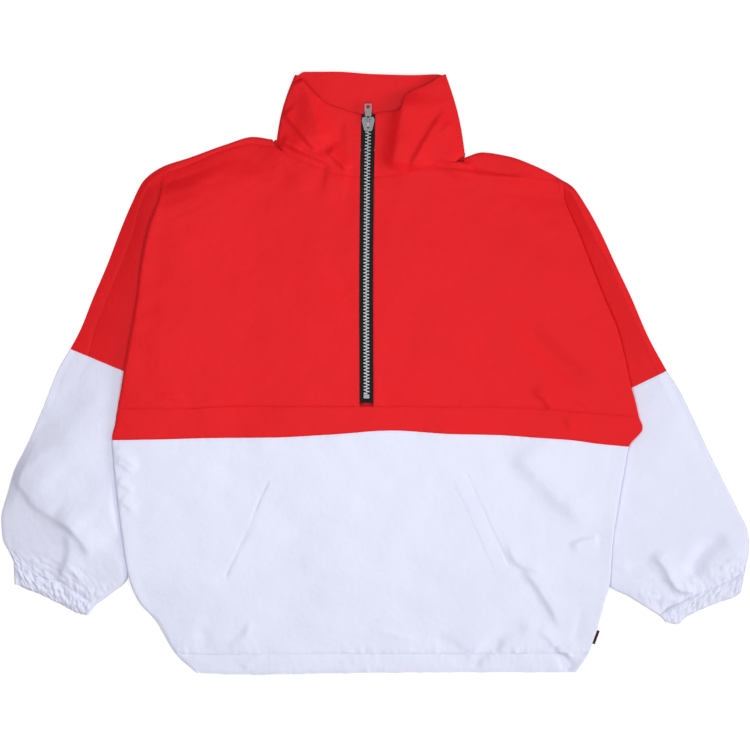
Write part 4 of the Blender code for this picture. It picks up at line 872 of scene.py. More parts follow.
def dense_top(side):
    """The front's upper edge: the neck seam and then the shoulder seam."""
    neck = NECK[side]
    k = np.linspace(0, len(neck) - 1, 60)
    a = np.column_stack([curve(range(len(neck)), column(neck, c), k) for c in (0, 1)])
    b = seam(side, np.linspace(0, SHOULDER_END, 60)[1:])
    return np.concatenate([a, b])


def front_upper(side, node):
    tops = dense_top(side)
    (x0, y0), (x1, y1) = tops[0], tops[-1]
    js = stations(0, BAND_SEAM, (side,))
    e0, e8 = edge(side, 0), edge(side, BAND_SEAM)
    band_y = at_x(BAND_TOP, zip_x(-39) + side * ZIP_HALF) + GAP
    count = int(abs(e8[0] - zip_x(0)) / CELL)
    u = np.linspace(0, 1, count)
    # Two columns more where the cloth turns down at the zip and at the fold.
    u = np.sort(np.concatenate([u, [0.25 * u[1], 0.55 * u[1]]]))
    along = np.linspace(0, SHOULDER_END, 40)
    neck_along = np.linspace(0, len(NECK[side]) - 1, 40)[:-1]
    seam_x = np.concatenate([curve(range(len(NECK[side])), column(NECK[side], 0), neck_along), seam(side, along)[:, 0]])
    seam_z = curve(range(len(NECK[side])), NECK_Z[side], neck_along)
    seam_z = np.concatenate([seam_z, [arm_z(side, k) for k in along]])
    body, sleeve, ramp = [], [], []
    for j in js:
        section = fold_lift(side_section(side, j, "sleeve" if j <= SLEEVE_SEAM else "ramp"))
        if j == BAND_SEAM:
            section[:, 1] += GAP
        start = section[0]
        f = (edge(side, j)[1] - e0[1]) / (e8[1] - e0[1])
        yz = mix(y0, band_y, f)
        xz = zip_x(yz) + side * ZIP_HALF
        x = mix(xz, start[0], u)
        tx = mix(x0, x1, u)
        ty = np.interp(side * tx, side * tops[:, 0], tops[:, 1])
        low_y = at_x(BAND_TOP, x) + GAP
        y = mix(yz, start[1], u)
        y = y + (1 - f) * (ty - mix(y0, y1, u)) + f * (low_y - mix(band_y, float(at_x(BAND_TOP, start[0])) + GAP, u))
        top_z = np.interp(side * tx, side * seam_x, seam_z)
        rest = mix(top_z, FRONT_Z, 1 - np.clip(1 - f / 0.15, 0, 1) ** 1.8)
        base_top = section[0][2] - float(front_lift(start[0], start[1]))
        z = front_height(side, j, np.abs(start[0] - x), np.maximum(base_top, np.min(rest)), rest)
        z = z + front_lift(x, y)
        from_band = y - low_y
        calm = zip_calm(x, y)
        z = z + calm * (seam_dip(from_band) + puckers(x, from_band, 21))
        from_zip = np.abs(x - zip_x(y)) - ZIP_HALF
        z = z + seam_dip(from_zip, 0.35, 1.2)
        from_top = np.maximum(ty - y, 0) if f < 0.3 else np.full(len(x), 99.0)
        z = z + seam_dip(from_top, 0.4, 1.5) + (puckers(x, from_top, 31, 6.0, 10.0, 0.16) if f < 0.3 else 0)
        body.append(np.column_stack([x, y, z])[:-1])
        body[-1] = np.concatenate([body[-1], section[:FOLD_POINTS]])
        if j <= SLEEVE_SEAM:
            sleeve.append(section[FOLD_POINTS - 1 :])
        if j >= SLEEVE_SEAM:
            if j == SLEEVE_SEAM:
                section = side_section(side, j, "ramp")
            ramp.append(section[FOLD_POINTS - 1 :])
    cloth = Cloth()
    ids = cloth.grid(np.array(body))
    above = sum(1 for j in js if j <= SLEEVE_SEAM)
    cloth.grid(np.array(sleeve), first=ids[:above, -1])
    cloth.grid(np.array(ramp), first=ids[above - 1 :, -1])
    return add_cloth(node, node, "red_cloth", cloth)


FRONT_LEAST = 1.7  # the front stays above the back's cloth, even in its deepest folds


def front_panel(node, slot, j0, j1, top_line, low_line, rest=None, seed=41, ruffle=(0.3, 0.3), valley=(0.0, 0.0), low_edge=SEAM_DROP):
    """A panel across the whole front, between two seams, with both folded sides."""
    js = stations(j0, j1)
    l0, r0, l1, r1 = edge(-1, j0), edge(1, j0), edge(-1, j1), edge(1, j1)
    count = int((r0[0] - l0[0]) / CELL)
    u = np.linspace(0, 1, count)
    rows = []
    for j in js:
        f = (j - j0) / (j1 - j0)
        shift = -GAP if j == j0 else GAP if j == j1 else 0.0
        left, right = fold_lift(side_section(-1, j, "ramp")), fold_lift(side_section(1, j, "ramp"))
        a, b = left[0], right[0]
        tops = [p[2] - float(front_lift(p[0], p[1])) for p in (a, b)]
        lie = FRONT_Z if rest is None else rest(f)
        x = mix(a[0], b[0], u)
        xt, xl = mix(l0[0], r0[0], u), mix(l1[0], r1[0], u)
        y = mix(a[1], b[1], u)
        y = y + (1 - f) * (at_x(top_line, xt) - mix(l0[1], r0[1], u))
        y = y + f * (at_x(low_line, xl) - mix(l1[1], r1[1], u))
        z = np.maximum(
            front_height(-1, j, x - a[0], tops[0], lie), front_height(1, j, b[0] - x, tops[1], lie)
        )
        z = z + front_lift(x, y)
        from_top, from_low = at_x(top_line, x) - y, y - at_x(low_line, x)
        z = z + seam_dip(from_top) + seam_dip(from_top, valley[0], 5.0) + puckers(x, from_top, seed, height=ruffle[0])
        z = z + seam_dip(from_low, low_edge, SEAM_WIDE * low_edge / SEAM_DROP) + seam_dip(from_low, valley[1], 5.0)
        z = z + puckers(x, from_low, seed + 5, height=ruffle[1])
        z = FRONT_LEAST + 0.4 * np.logaddexp(0, (z - FRONT_LEAST) / 0.4)
        middle_row = np.column_stack([x, y, z])[1:-1]
        row = np.concatenate([left[::-1], middle_row, right])
        row[:, 1] += shift
        if j1 == HEM_EDGE:
            # The hem's free edge isn't quite straight.
            away = ease(np.minimum(x[1:-1] - a[0], b[0] - x[1:-1]) / 30.0)
            row[len(left) : len(left) + len(x) - 2, 1] += 0.7 * away * wander(x[1:-1], 9.0, 171) * ease((f - 0.4) / 0.6)
        rows.append(row)
    cloth = Cloth()
    cloth.grid(np.array(rows))
    return add_cloth(node, node, slot, cloth)


LAP_ARC = 9


def lap(side, k):
    """The back's cloth where it wraps over the garment's edge, from the seam on the front to the ground."""
    s, o = seam(side, k), outline(side, k)
    n = unit(o - s)
    high = arm_z(side, k)
    room = float(np.linalg.norm(o - s))
    low = mix(high, min(high, ARM_EDGE[side]), float(ease((k - 2.5) / 3.0)))
    low = min(low, GROUND + 1.5 * room)
    r = (low - GROUND) / 2
    deep = min(r, 0.6 * room, ARM_DEEP[side])
    inner = o - (WALL / 2 + deep) * n
    t = np.array([0, 0.08, 0.2, 0.4, 0.6, 0.8])
    flat = mix(s + GAP * n, inner, t[:, None])
    z = mix(high, low, t**1.3) + seam_dip(np.linalg.norm(flat - s, axis=1), 0.45, 1.5)
    turn = np.linspace(math.pi / 2, -math.pi / 2, LAP_ARC)
    arc = inner[None] + (deep * np.cos(turn))[:, None] * n[None]
    return np.concatenate([np.column_stack([flat, z]), np.column_stack([arc, GROUND + r + r * np.sin(turn)])])


def tuck_foot(side, j, more=0.0):
    tuck = float(at_row(SIDE[side], j, 2))
    return edge(side, j) - (tuck + SLOPE + more) * outward(side, j)


FOOT_GAP = 0.2


def filled(loop, spacing):
    """Triangles over a flat outline, with points inside it about spacing apart."""
    from mathutils.geometry import delaunay_2d_cdt

    loop = np.asarray(loop, float)
    n = len(loop)
    lo, hi = loop.min(0), loop.max(0)
    xs, ys = np.arange(lo[0], hi[0], spacing), np.arange(lo[1], hi[1], spacing)
    inside = np.array([(x + (i % 2) * spacing / 2, y) for i, y in enumerate(ys) for x in xs])
    # Points too near the outline would make slivers.
    d = np.full(len(inside), 1e9)
    for i in range(n):
        a, b = loop[i], loop[(i + 1) % n]
        ab = b - a
        t = np.clip(((inside - a) @ ab) / max(ab @ ab, 1e-12), 0, 1)
        d = np.minimum(d, np.linalg.norm(inside - a - t[:, None] * ab, axis=1))
    inside = inside[d > spacing * 0.4]
    verts = [Vector(p) for p in loop.tolist()] + [Vector(p) for p in inside.tolist()]
    edges = [(i, (i + 1) % n) for i in range(n)]
    out = delaunay_2d_cdt(verts, edges, [], 1, 1e-6)
    return np.array([v[:] for v in out[0]]), [list(f) for f in out[2]]


def back_upper():
    cloth = Cloth()
    rings = {}
    ks = []
    for k in range(11):
        length = max(np.linalg.norm(outline(s, k + 1) - outline(s, k)) for s in (-1, 1))
        ks += list(np.linspace(k, k + 1, math.ceil(length / CELL) + 1)[:-1])
    ks.append(11.0)
    for side in (-1, 1):
        strip = np.array([lap(side, k) for k in ks])
        x, y = strip[:, :, 0], strip[:, :, 1]
        cols = strip.shape[1]
        weight = np.concatenate([np.ones(cols - LAP_ARC), 0.5 + 0.5 * np.cos(np.linspace(0, math.pi, LAP_ARC))])
        strip[:, :, 2] += (FRONT.lift(x, y) + 0.6 * flutter(x, y)) * weight[None]
        cloth.grid(strip)
        rings[side] = strip[:, -1, :2]
    # It reaches in under the collar's two folds.
    neck = [(-119.5, 281.0)] + [(COLLAR[i][0], COLLAR[i][1] - 0.6) for i in COLLAR_BACK] + [(108.6, 264.5)]
    neck = np.array(neck)
    t = np.linspace(0, len(neck) - 1, 60)
    neck = np.column_stack([catmull(range(len(neck)), neck[:, c], t) for c in (0, 1)])
    js = np.linspace(SLEEVE_SEAM, BORDER_SEAM, 20)
    left = np.array([tuck_foot(-1, j, FOOT_GAP) for j in js])
    right = np.array([tuck_foot(1, j, FOOT_GAP) for j in js])
    xs = np.linspace(left[-1][0], right[-1][0], 60)[1:-1]
    border = np.column_stack([xs, at_x(BORDER, xs) + GAP])
    left[-1][1] += GAP
    right[-1][1] += GAP
    loop = np.concatenate([rings[-1], left, border, right[::-1], rings[1][::-1], neck[::-1]])
    points, faces = filled(loop, 9.0)
    height = GROUND + np.zeros(len(points))
    cloth.add(np.column_stack([points, height]), faces)
    return add_cloth("back_upper", "back_upper", "red_cloth", cloth)


def back_panel(node, slot, j0, j1, top_line, low_line):
    js = stations(j0, j1, cell=7.0)
    u = np.linspace(0, 1, 80)
    rows = []
    for j in js:
        f = (j - j0) / (j1 - j0)
        (lx, ly), (rx, ry) = tuck_foot(-1, j, FOOT_GAP), tuck_foot(1, j, FOOT_GAP)
        x, y = mix(lx, rx, u), mix(ly, ry, u)
        ends = []
        for at, line in ((j0, top_line), (j1, low_line)):
            (ax, ay), (bx, by) = tuck_foot(-1, at, FOOT_GAP), tuck_foot(1, at, FOOT_GAP)
            ends.append(at_x(line, mix(ax, bx, u)) - mix(ay, by, u))
        y = y + mix(ends[0], ends[1], f) * np.minimum(1, np.minimum(u, 1 - u) * 40)
        y = y + (-GAP if j == j0 else GAP if j == j1 else 0.0)
        rows.append(np.column_stack([x, y, np.full(len(x), GROUND)]))
    cloth = Cloth()
    cloth.grid(np.array(rows))
    return add_cloth(node, node, slot, cloth)


EDGE_ARC = 7
FRONT_COLUMNS = 96
UNDER_COLUMNS = 26


def ring_columns():
    """Where the points of a sleeve's section lie: the share across it, the part and the turn round an edge."""
    s = np.linspace(0, 1, FRONT_COLUMNS)
    out = [(v, "top", 0.0) for v in s]
    out += [(1.0, "inner", a) for a in np.linspace(0, math.pi, EDGE_ARC)[1:-1]]
    out += [(v, "under", 0.0) for v in np.linspace(1, 0, UNDER_COLUMNS)]
    out += [(0.0, "outer", a) for a in np.linspace(math.pi, 0, EDGE_ARC)[1:-1]]
    return out


RING = ring_columns()


def cuff_point(side, n, f):
    rows = CUFF[side]
    a = np.stack([at_row(rows, n, 0), at_row(rows, n, 1)], -1)
    b = np.stack([at_row(rows, n, 2), at_row(rows, n, 3)], -1)
    return mix(a, b, f), unit(b - a)


def gathers(side, along, down):
    """Gathers at a sleeve's end. along is a distance across it and down one from its seam, negative up the sleeve."""
    seed = 71 if side < 0 else 81
    wave = 0.8 * noise(down, along, 1.8, seed, 3.4) + 0.7 * noise(down, along, 3.2, seed + 1, 2.6)
    patch = 0.75 + 0.35 * noise(down, along, 15.0, seed + 2, 3.0)
    up = np.exp(-((np.minimum(down, 0) / 9.0) ** 2))
    dimples = 1.0 * noise(down, along, 5.5, seed + 3, 0.8) + 0.5 * noise(down, along, 3.0, seed + 4, 0.9)
    return wave * patch * up + dimples * np.exp(-((np.minimum(down, 0) / 20.0) ** 2))


PUFF = 0.8


def body_edge(side, y):
    """x of the body's folded edge at y."""
    j = np.linspace(SLEEVE_SEAM - 1, HEM_EDGE, 300)
    e = edge(side, j)
    return np.interp(-np.asarray(y), -e[:, 1], e[:, 0])


def sleeve_seam_lift(side, s, base):
    """What takes the section at the sleeve's seam from its plain height to the red sleeve's."""
    section = side_section(side, SLEEVE_SEAM, "sleeve")[FOLD_POINTS - 1 :]
    o, i = np.array(SLEEVE[side][0][:2]), np.array(SLEEVE[side][0][2:4])
    k = (section[:, :2] - o) @ (i - o) / ((i - o) @ (i - o))
    # Beyond the overarm seam the lap goes down to the edge.
    lap_row = lap(side, 11)
    kl = (lap_row[:, :2] - o) @ (i - o) / ((i - o) @ (i - o))
    top = lap_row[: -LAP_ARC + 1]
    xs = np.concatenate([kl[: -LAP_ARC + 1], k])
    zs = np.concatenate([top[:, 2] - seam_dip(np.linalg.norm(top[:, :2] - seam(side, 11), axis=1), 0.45, 1.5), section[:, 2]])
    order = np.argsort(xs)
    return np.interp(s, xs[order], zs[order]) - base


def sleeve_lower(side, node):
    rows = SLEEVE[side]
    group = Folds("sleeve_left" if side < 0 else "sleeve_right")
    last = len(rows) - 1
    ms = []
    for m in range(last):
        length = max(
            math.dist(rows[m][:2], rows[m + 1][:2]), math.dist(rows[m][2:4], rows[m + 1][2:4])
        )
        ms += list(np.linspace(m, m + 1, math.ceil(length / (CELL if m < 7 else 1.7)) + 1)[:-1])
    ms.append(float(last))
    ms = sorted(ms + [0.25 * ms[1], 0.55 * ms[1]] + [last - t * (last - ms[-2]) for t in (0.25, 0.55)])
    r = LAP_RISE / 2
    cuff = CUFF[side]
    s = np.array([c[0] for c in RING])
    kind = np.array([c[1] for c in RING])
    turn = np.array([c[2] for c in RING])
    grid = []
    for m in ms:
        # The section starts as the red sleeve's and turns into the puffed one.
        start = float(1 - ease(m / 4.0))
        high_o, high_i = (mix(SLEEVE_Z, h, float(1 - ease((m - 6.5) / 2.5))) for h in SLEEVE_SIDES[side])
        high_o = mix(high_o, min(arm_z(side, 11), ARM_EDGE[side]), start)
        high_i = mix(high_i, SLEEVE_UP[side], start)
        ro, ri = (high_o - GROUND) / 2, (high_i - GROUND) / 2
        wide_o, wide_i = WALL / 2 + min(ro, ARM_DEEP[side]), WALL / 2 + min(ri, 2.0)
        o = np.array([at_row(rows, m, 0), at_row(rows, m, 1)])
        i = np.array([at_row(rows, m, 2), at_row(rows, m, 3)])
        puff = float(at_row(rows, m, 4))
        across = unit(i - o)
        span = np.linalg.norm(i - o)
        down = np.array([-across[1], across[0]]) * (1 if side < 0 else -1)
        if down[1] > 0:
            down = -down
        bow = float(ease((m - 6.5) / 2.5))
        shift = (2 * GAP if m == 0 else -GAP if m == last else 0.0) * down
        k = s * (len(cuff) - 1)
        on_cuff = np.stack([at_row(cuff, k, 0), at_row(cuff, k, 1)], -1)
        straight = mix(np.array(cuff[0][:2]), np.array(cuff[-1][:2]), s[:, None])
        base = mix(o, i, s[:, None]) + bow * (on_cuff - straight) + shift
        near = np.zeros(len(s))
        flat = (kind == "top") | (kind == "under")
        near = np.where(flat, wide_o * np.exp(-s * span / 3.0) - wide_i * np.exp(-(1 - s) * span / 3.0), near)
        near = np.where(kind == "inner", -wide_i + (wide_i - WALL / 2) * np.sin(turn), near)
        near = np.where(kind == "outer", wide_o - (wide_o - WALL / 2) * np.sin(turn), near)
        p = base + near[:, None] * across
        profile = np.sin(math.pi * np.clip(s, 0, 1)) ** np.where(s < 0.5, 0.6, 0.55)
        z = np.where(kind == "under", GROUND, mix(high_o, high_i, s))
        z = np.where(kind == "inner", GROUND + ri + ri * np.cos(turn), z)
        z = np.where(kind == "outer", GROUND + ro + ro * np.cos(turn), z)
        top = kind == "top"
        x, y = p[:, 0], p[:, 1]
        edge_calm = np.minimum(1.0, np.minimum(14 * s, 14 * (1 - s)))
        lift = PUFF * puff * profile + (group.lift(x, y) + flutter(x, y, 61)) * edge_calm
        # The height that the red sleeve has at the seam.
        lift = lift + start * sleeve_seam_lift(side, s, z)
        # How far the row is from the seams above and below it.
        below = (last - m) * 15.0
        above = np.linalg.norm(o - np.array(rows[0][:2])) if m < 2 else 99.0
        lift = lift + seam_dip(above, 0.5, 1.5) * edge_calm
        reach = -np.abs(below)
        lift = lift + gathers(side, s * span, np.full(len(s), reach)) * edge_calm
        lift = lift + seam_dip(below, 0.9, 2.2) * edge_calm
        z = z + np.where(top, lift, 0.0)
        clear = side * (x - body_edge(side, y))
        limit = UNDER_TUCK + 0.45 * np.maximum(0, clear + 1.0)
        z = np.where(top, -np.logaddexp(-z * 4, -limit * 4) / 4, z)
        grid.append(np.column_stack([p, z]))
    cloth = Cloth()
    cloth.grid(np.array(grid), closed=True)
    return add_cloth(node, node, "white_cloth", cloth)


def cuff(side, node):
    rows = CUFF[side]
    last = len(rows) - 1
    r = LAP_RISE / 2
    inset = WALL / 2 + r
    s = np.array([c[0] for c in RING])
    kind = np.array([c[1] for c in RING])
    turn = np.array([c[2] for c in RING])
    n = s * last
    span = math.dist(rows[0][:2], rows[-1][:2])
    seed = 91 if side < 0 else 95
    grid = []
    for f in [0, 0.02, 0.05, 0.1, *np.linspace(0.17, 0.9, 12), 0.95, 0.98, 1.0]:
        p, down = cuff_point(side, n, f)
        ends = cuff_point(side, np.array([0.0, last]), f)[0]
        across = unit(ends[1] - ends[0])
        near = np.zeros(len(s))
        flat = (kind == "top") | (kind == "under")
        near = np.where(flat, inset * np.exp(-s * span / 3.0) - inset * np.exp(-(1 - s) * span / 3.0), near)
        near = np.where(kind == "inner", -inset + r * np.sin(turn), near)
        near = np.where(kind == "outer", inset - r * np.sin(turn), near)
        long = float(np.linalg.norm(cuff_point(side, last / 2, 1)[0] - cuff_point(side, last / 2, 0)[0]))
        scallop = 0.7 * noise(np.full(len(s), 3.3), s * span, 2.8, seed, 1.0) * f
        p = p + near[:, None] * across + (scallop + (GAP if f == 0 else 0.0))[:, None] * down
        edge_calm = np.minimum(1.0, np.minimum(14 * s, 14 * (1 - s)))
        bulge = 0.9 + 1.6 * math.sin(math.pi * f) ** 0.7 - 2.6 * f
        wave = 1.2 * gathers(side, s * span, np.full(len(s), f * long)) * (0.5 + 0.7 * math.sin(math.pi * f))
        lift = bulge + wave + seam_dip(f * long, 0.9, 2.2) + seam_dip((1 - f) * long, 0.7, 1.6)
        z = np.where(kind == "under", GROUND, SLEEVE_Z)
        z = np.where((kind == "inner") | (kind == "outer"), GROUND + r + r * np.cos(turn), z)
        z = z + np.where(kind == "top", lift * edge_calm, 0.0)
        grid.append(np.column_stack([p, z]))
    cloth = Cloth()
    cloth.grid(np.array(grid), closed=True)
    return add_cloth(node, node, "white_cloth", cloth)


def collar_row(f):
    """The collar's section at height f, round from the zip's one side to the other, and which fold each point is on."""
    line = [[mix(r[c], r[c + 3], f) for c in range(3)] for r in COLLAR]
    for n, side in ((0, -1), (len(COLLAR) - 1, 1)):
        line[n][0] = float(zip_x(line[n][1])) + side * (ZIP_HALF + 0.1)
    row, marks = [], []
    for n, point in enumerate(line):
        if n not in COLLAR_FOLDS:
            row.append(tuple(point))
            marks.append(1.0 if n < COLLAR_FOLDS[0] or n > COLLAR_FOLDS[1] else 0.0)
            continue
        side = -1 if n == COLLAR_FOLDS[0] else 1
        point[0] += side * COLLAR_BOW * math.sin(math.pi * f)
        front, back = line[n + side], line[n - side]
        middle_point = [(front[c] + back[c]) / 2 for c in (0, 1)]
        inward = unit(np.array(middle_point) - point[:2]) * COLLAR_FOLD_IN
        upper = (point[0] + inward[0], point[1] + inward[1], front[2])
        lower = (point[0] + inward[0], point[1] + inward[1], back[2])
        outer = (point[0], point[1], (front[2] + back[2]) / 2)
        row += [upper, outer, lower][:: 1 if side < 0 else -1]
        marks += [1.0, 0.5, 0.0][:: 1 if side < 0 else -1]
    return np.array(row), np.array(marks)


def collar():
    front, back = Folds("collar"), Folds("collar_back")
    mid, _ = collar_row(0.5)
    along = np.concatenate([[0], np.cumsum(np.linalg.norm(np.diff(mid, axis=0), axis=1))])
    t = []
    for a, b in zip(along, along[1:]):
        t += list(np.linspace(a, b, max(2, math.ceil((b - a) / 1.9)) + 1)[:-1])
    t = np.array(t + [along[-1]])
    grid = []
    fs = [0, 0.01, 0.03, *np.linspace(0.05, 0.96, 44), 0.985, 1.0]
    for f in fs:
        row, marks = collar_row(f)
        p = np.column_stack([curve(along, row[:, c], t) for c in range(3)])
        on_front = np.interp(t, along, marks)
        x, y = p[:, 0], p[:, 1]
        calm = ease(np.minimum(t, along[-1] - t) / 14.0)
        tall = 82.0
        foot, _ = collar_row(0.0)
        foot_x, foot_y = curve(along, foot[:, 0], t), curve(along, foot[:, 1], t)
        lift = (front.lift(x, y) + 0.7 * flutter(x, y, 101)) * ease(on_front) * calm
        lift = lift + front_lift(foot_x, foot_y) * ease(on_front) * (1 - f) ** 2
        lift = lift + np.maximum(0, back.lift(x, y)) * ease(1 - on_front)
        hem = seam_dip(f * tall, 0.5, 1.6) + puckers(x, f * tall, 111, 5.0, 8.0, 0.25) * calm
        p[:, 2] += lift + (hem + seam_dip((1 - f) * tall, 0.3, 1.5)) * on_front
        # The foot turns in under the fronts' edge, so that nothing shows through the seam.
        tucked = max(0.0, 1 - f / 0.02) * on_front * calm
        p[:, 1] -= 1.3 * tucked
        p[:, 2] -= 1.0 * tucked
        grid.append(p)
    cloth = Cloth()
    cloth.grid(np.array(grid))
    return add_cloth("collar", "collar", "red_cloth", cloth, COLLAR_WALL)


def welt(side, node, tree):
    (ax, ay, bx, by), (cx, cy, dx, dy) = WELT[side]
    grid = []
    for f in np.linspace(0, 1, 56):
        row = []
        for g in [0, 0.04, 0.12, 0.3, 0.5, 0.7, 0.88, 0.96, 1]:
            x = mix(mix(ax, bx, f), mix(cx, dx, f), g)
            y = mix(mix(ay, by, f), mix(cy, dy, f), g)
            end = min(f, 1 - f) * 128.0
            turn = -0.12 * math.exp(-(((1 - g) * 15.0 / 1.2) ** 2)) - 0.12 * math.exp(-((end / 1.5) ** 2))
            row.append((x, y, drop(tree, x, y, FRONT_Z) + WELT_WALL / 2 + 0.02 + max(turn, -0.12)))
        grid.append(row)
    cloth = Cloth()
    cloth.grid(np.array(grid))
    return add_cloth(node, node, "white_cloth", cloth, WELT_WALL)


WELT_WALL = 0.3


# ---------------------------------------------------------------- zip teeth and stitches
TOOTH_PITCH = 4.01
TOOTH = ((3.85, 1.05), (1.3, 0.85), (0.2, 0.95), (-0.75, 0.75), (-1.15, 0.3))  # x, half length along the zip
TOOTH_HALF_Z = 1.1
TOOTH_CHAMFER = 0.28


def teeth():
    """Two rows of interlocking teeth along the zip's centre line."""
    half = [(x, y) for x, y in TOOTH]
    outline_points = np.array(half + [(x, -y) for x, y in half[::-1]])
    n = len(outline_points)
    centre = outline_points.mean(0)
    inner = centre + (outline_points - centre) * (1 - TOOTH_CHAMFER / 1.2)
    levels_z = [(-TOOTH_HALF_Z, inner), (-TOOTH_HALF_Z + TOOTH_CHAMFER, outline_points)]
    levels_z += [(TOOTH_HALF_Z - TOOTH_CHAMFER, outline_points), (TOOTH_HALF_Z, inner)]
    points, faces = [], []
    for side in (-1, 1):
        ys = np.arange(CHAIN_Y[0] + (0.9 if side < 0 else 0.9 + TOOTH_PITCH / 2), SLIDER_Y - 6.5, TOOTH_PITCH)
        for y0 in ys:
            base = len(points)
            x0 = float(zip_x(y0))
            for z, ring in levels_z:
                points += [(x0 + side * x, y0 + y, FRONT_Z + z) for x, y in ring]
            for level in range(3):
                for i in range(n):
                    a, b = base + level * n + i, base + level * n + (i + 1) % n
                    faces.append([a, b, b + n, a + n] if side > 0 else [b, a, a + n, b + n])
            cap = [base + 3 * n + i for i in range(n)]
            low = [base + i for i in range(n)][::-1]
            faces += [cap, low] if side > 0 else [cap[::-1], low[::-1]]
    obj = add_mesh("zip_teeth", metres(points), faces, materials["teeth"], smooth=False)
    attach(obj, BODY)
    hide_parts("zip_chain")
    return obj


def zip_cords():
    """The tapes' thick woven edges under the teeth."""
    points, faces = [], []
    ys = np.linspace(TAPE_Y[0] + 1, TAPE_Y[1] - 2, 170)
    turn = np.linspace(0, 2 * math.pi, 9)[:-1]
    for side in (-1, 1):
        base = len(points)
        for y in ys:
            x = float(zip_x(y)) + side * 2.15
            points += [(x + 1.95 * math.cos(a), y, FRONT_Z - 0.45 + 0.75 * math.sin(a)) for a in turn]
        for i in range(len(ys) - 1):
            for c in range(8):
                a, b = base + i * 8 + c, base + i * 8 + (c + 1) % 8
                faces.append([a, b, b + 8, a + 8])
        faces += [[base + c for c in range(8)][::-1], [base + (len(ys) - 1) * 8 + c for c in range(8)]]
    obj = add_mesh("zip_cords", metres(points), faces, materials["black_tape"])
    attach(obj, BODY)
    return obj


def stitch_points(line, pitch, length):
    """Middle and direction of each stitch along a line in plan."""
    p = np.asarray(line, float)
    along = np.concatenate([[0], np.cumsum(np.linalg.norm(np.diff(p, axis=0), axis=1))])
    at = np.arange(pitch * 0.7, along[-1] - pitch * 0.4, pitch)
    out = []
    for t in at:
        a = np.array([np.interp(t - length / 2, along, p[:, c]) for c in (0, 1)])
        b = np.array([np.interp(t + length / 2, along, p[:, c]) for c in (0, 1)])
        out.append((a, b))
    return out


def stitches(name, slot, lines, tree):
    """Rows of stitches. Each line is (points, pitch, length, thickness)."""
    points, faces = [], []
    sides = 5
    for line, pitch, length, thick in lines:
        for a, b in stitch_points(line, pitch, length):
            along = unit(b - a)
            across = np.array([-along[1], along[0]])
            za, zb = drop(tree, *a, None), drop(tree, *b, None)
            if za is None or zb is None or abs(za - zb) > 1.5:
                continue
            base = len(points)
            r = thick / 2
            for t, size, sink in ((0, 0.35, -0.9), (0.22, 1.0, 0.0), (0.78, 1.0, 0.0), (1, 0.35, -0.9)):
                c = mix(a, b, t)
                z = mix(za, zb, t) + r * (0.35 + sink)
                for i in range(sides):
                    turn = 2 * math.pi * i / sides
                    off = across * r * size * math.cos(turn)
                    points.append((c[0] + off[0], c[1] + off[1], z + r * size * math.sin(turn)))
            for level in range(3):
                for i in range(sides):
                    p0, p1 = base + level * sides + i, base + level * sides + (i + 1) % sides
                    faces.append([p0, p1, p1 + sides, p0 + sides])
            faces += [[base + i for i in range(sides)][::-1], [base + 3 * sides + i for i in range(sides)]]
    obj = add_mesh(name, metres(points), faces, materials[slot])
    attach(obj, BODY)
    return obj


# ---------------------------------------------------------------- finishes
def new_material(name):
    made = bpy.data.materials.new(name)
    made.use_nodes = True
    tree = made.node_tree
    return made, tree, tree.nodes["Principled BSDF"]


def place_coordinates(tree):
    return tree.nodes.new("ShaderNodeTexCoord").outputs["Object"]


def weave(tree, coordinates, pitch, depth):
    """Threads crossing over and under each other, as a fine bump."""
    waves = []
    for direction in ("X", "Y"):
        node = tree.nodes.new("ShaderNodeTexWave")
        node.wave_type = "BANDS"
        node.bands_direction = direction
        node.wave_profile = "SIN"
        node.inputs["Scale"].default_value = 0.314 / pitch
        tree.links.new(coordinates, node.inputs["Vector"])
        waves.append(node.outputs["Fac"])
    mixed = tree.nodes.new("ShaderNodeMath")
    mixed.operation = "MULTIPLY"
    tree.links.new(waves[0], mixed.inputs[0])
    tree.links.new(waves[1], mixed.inputs[1])
    bump = tree.nodes.new("ShaderNodeBump")
    bump.inputs["Strength"].default_value = 0.35
    bump.inputs["Distance"].default_value = depth
    tree.links.new(mixed.outputs[0], bump.inputs["Height"])
    return bump


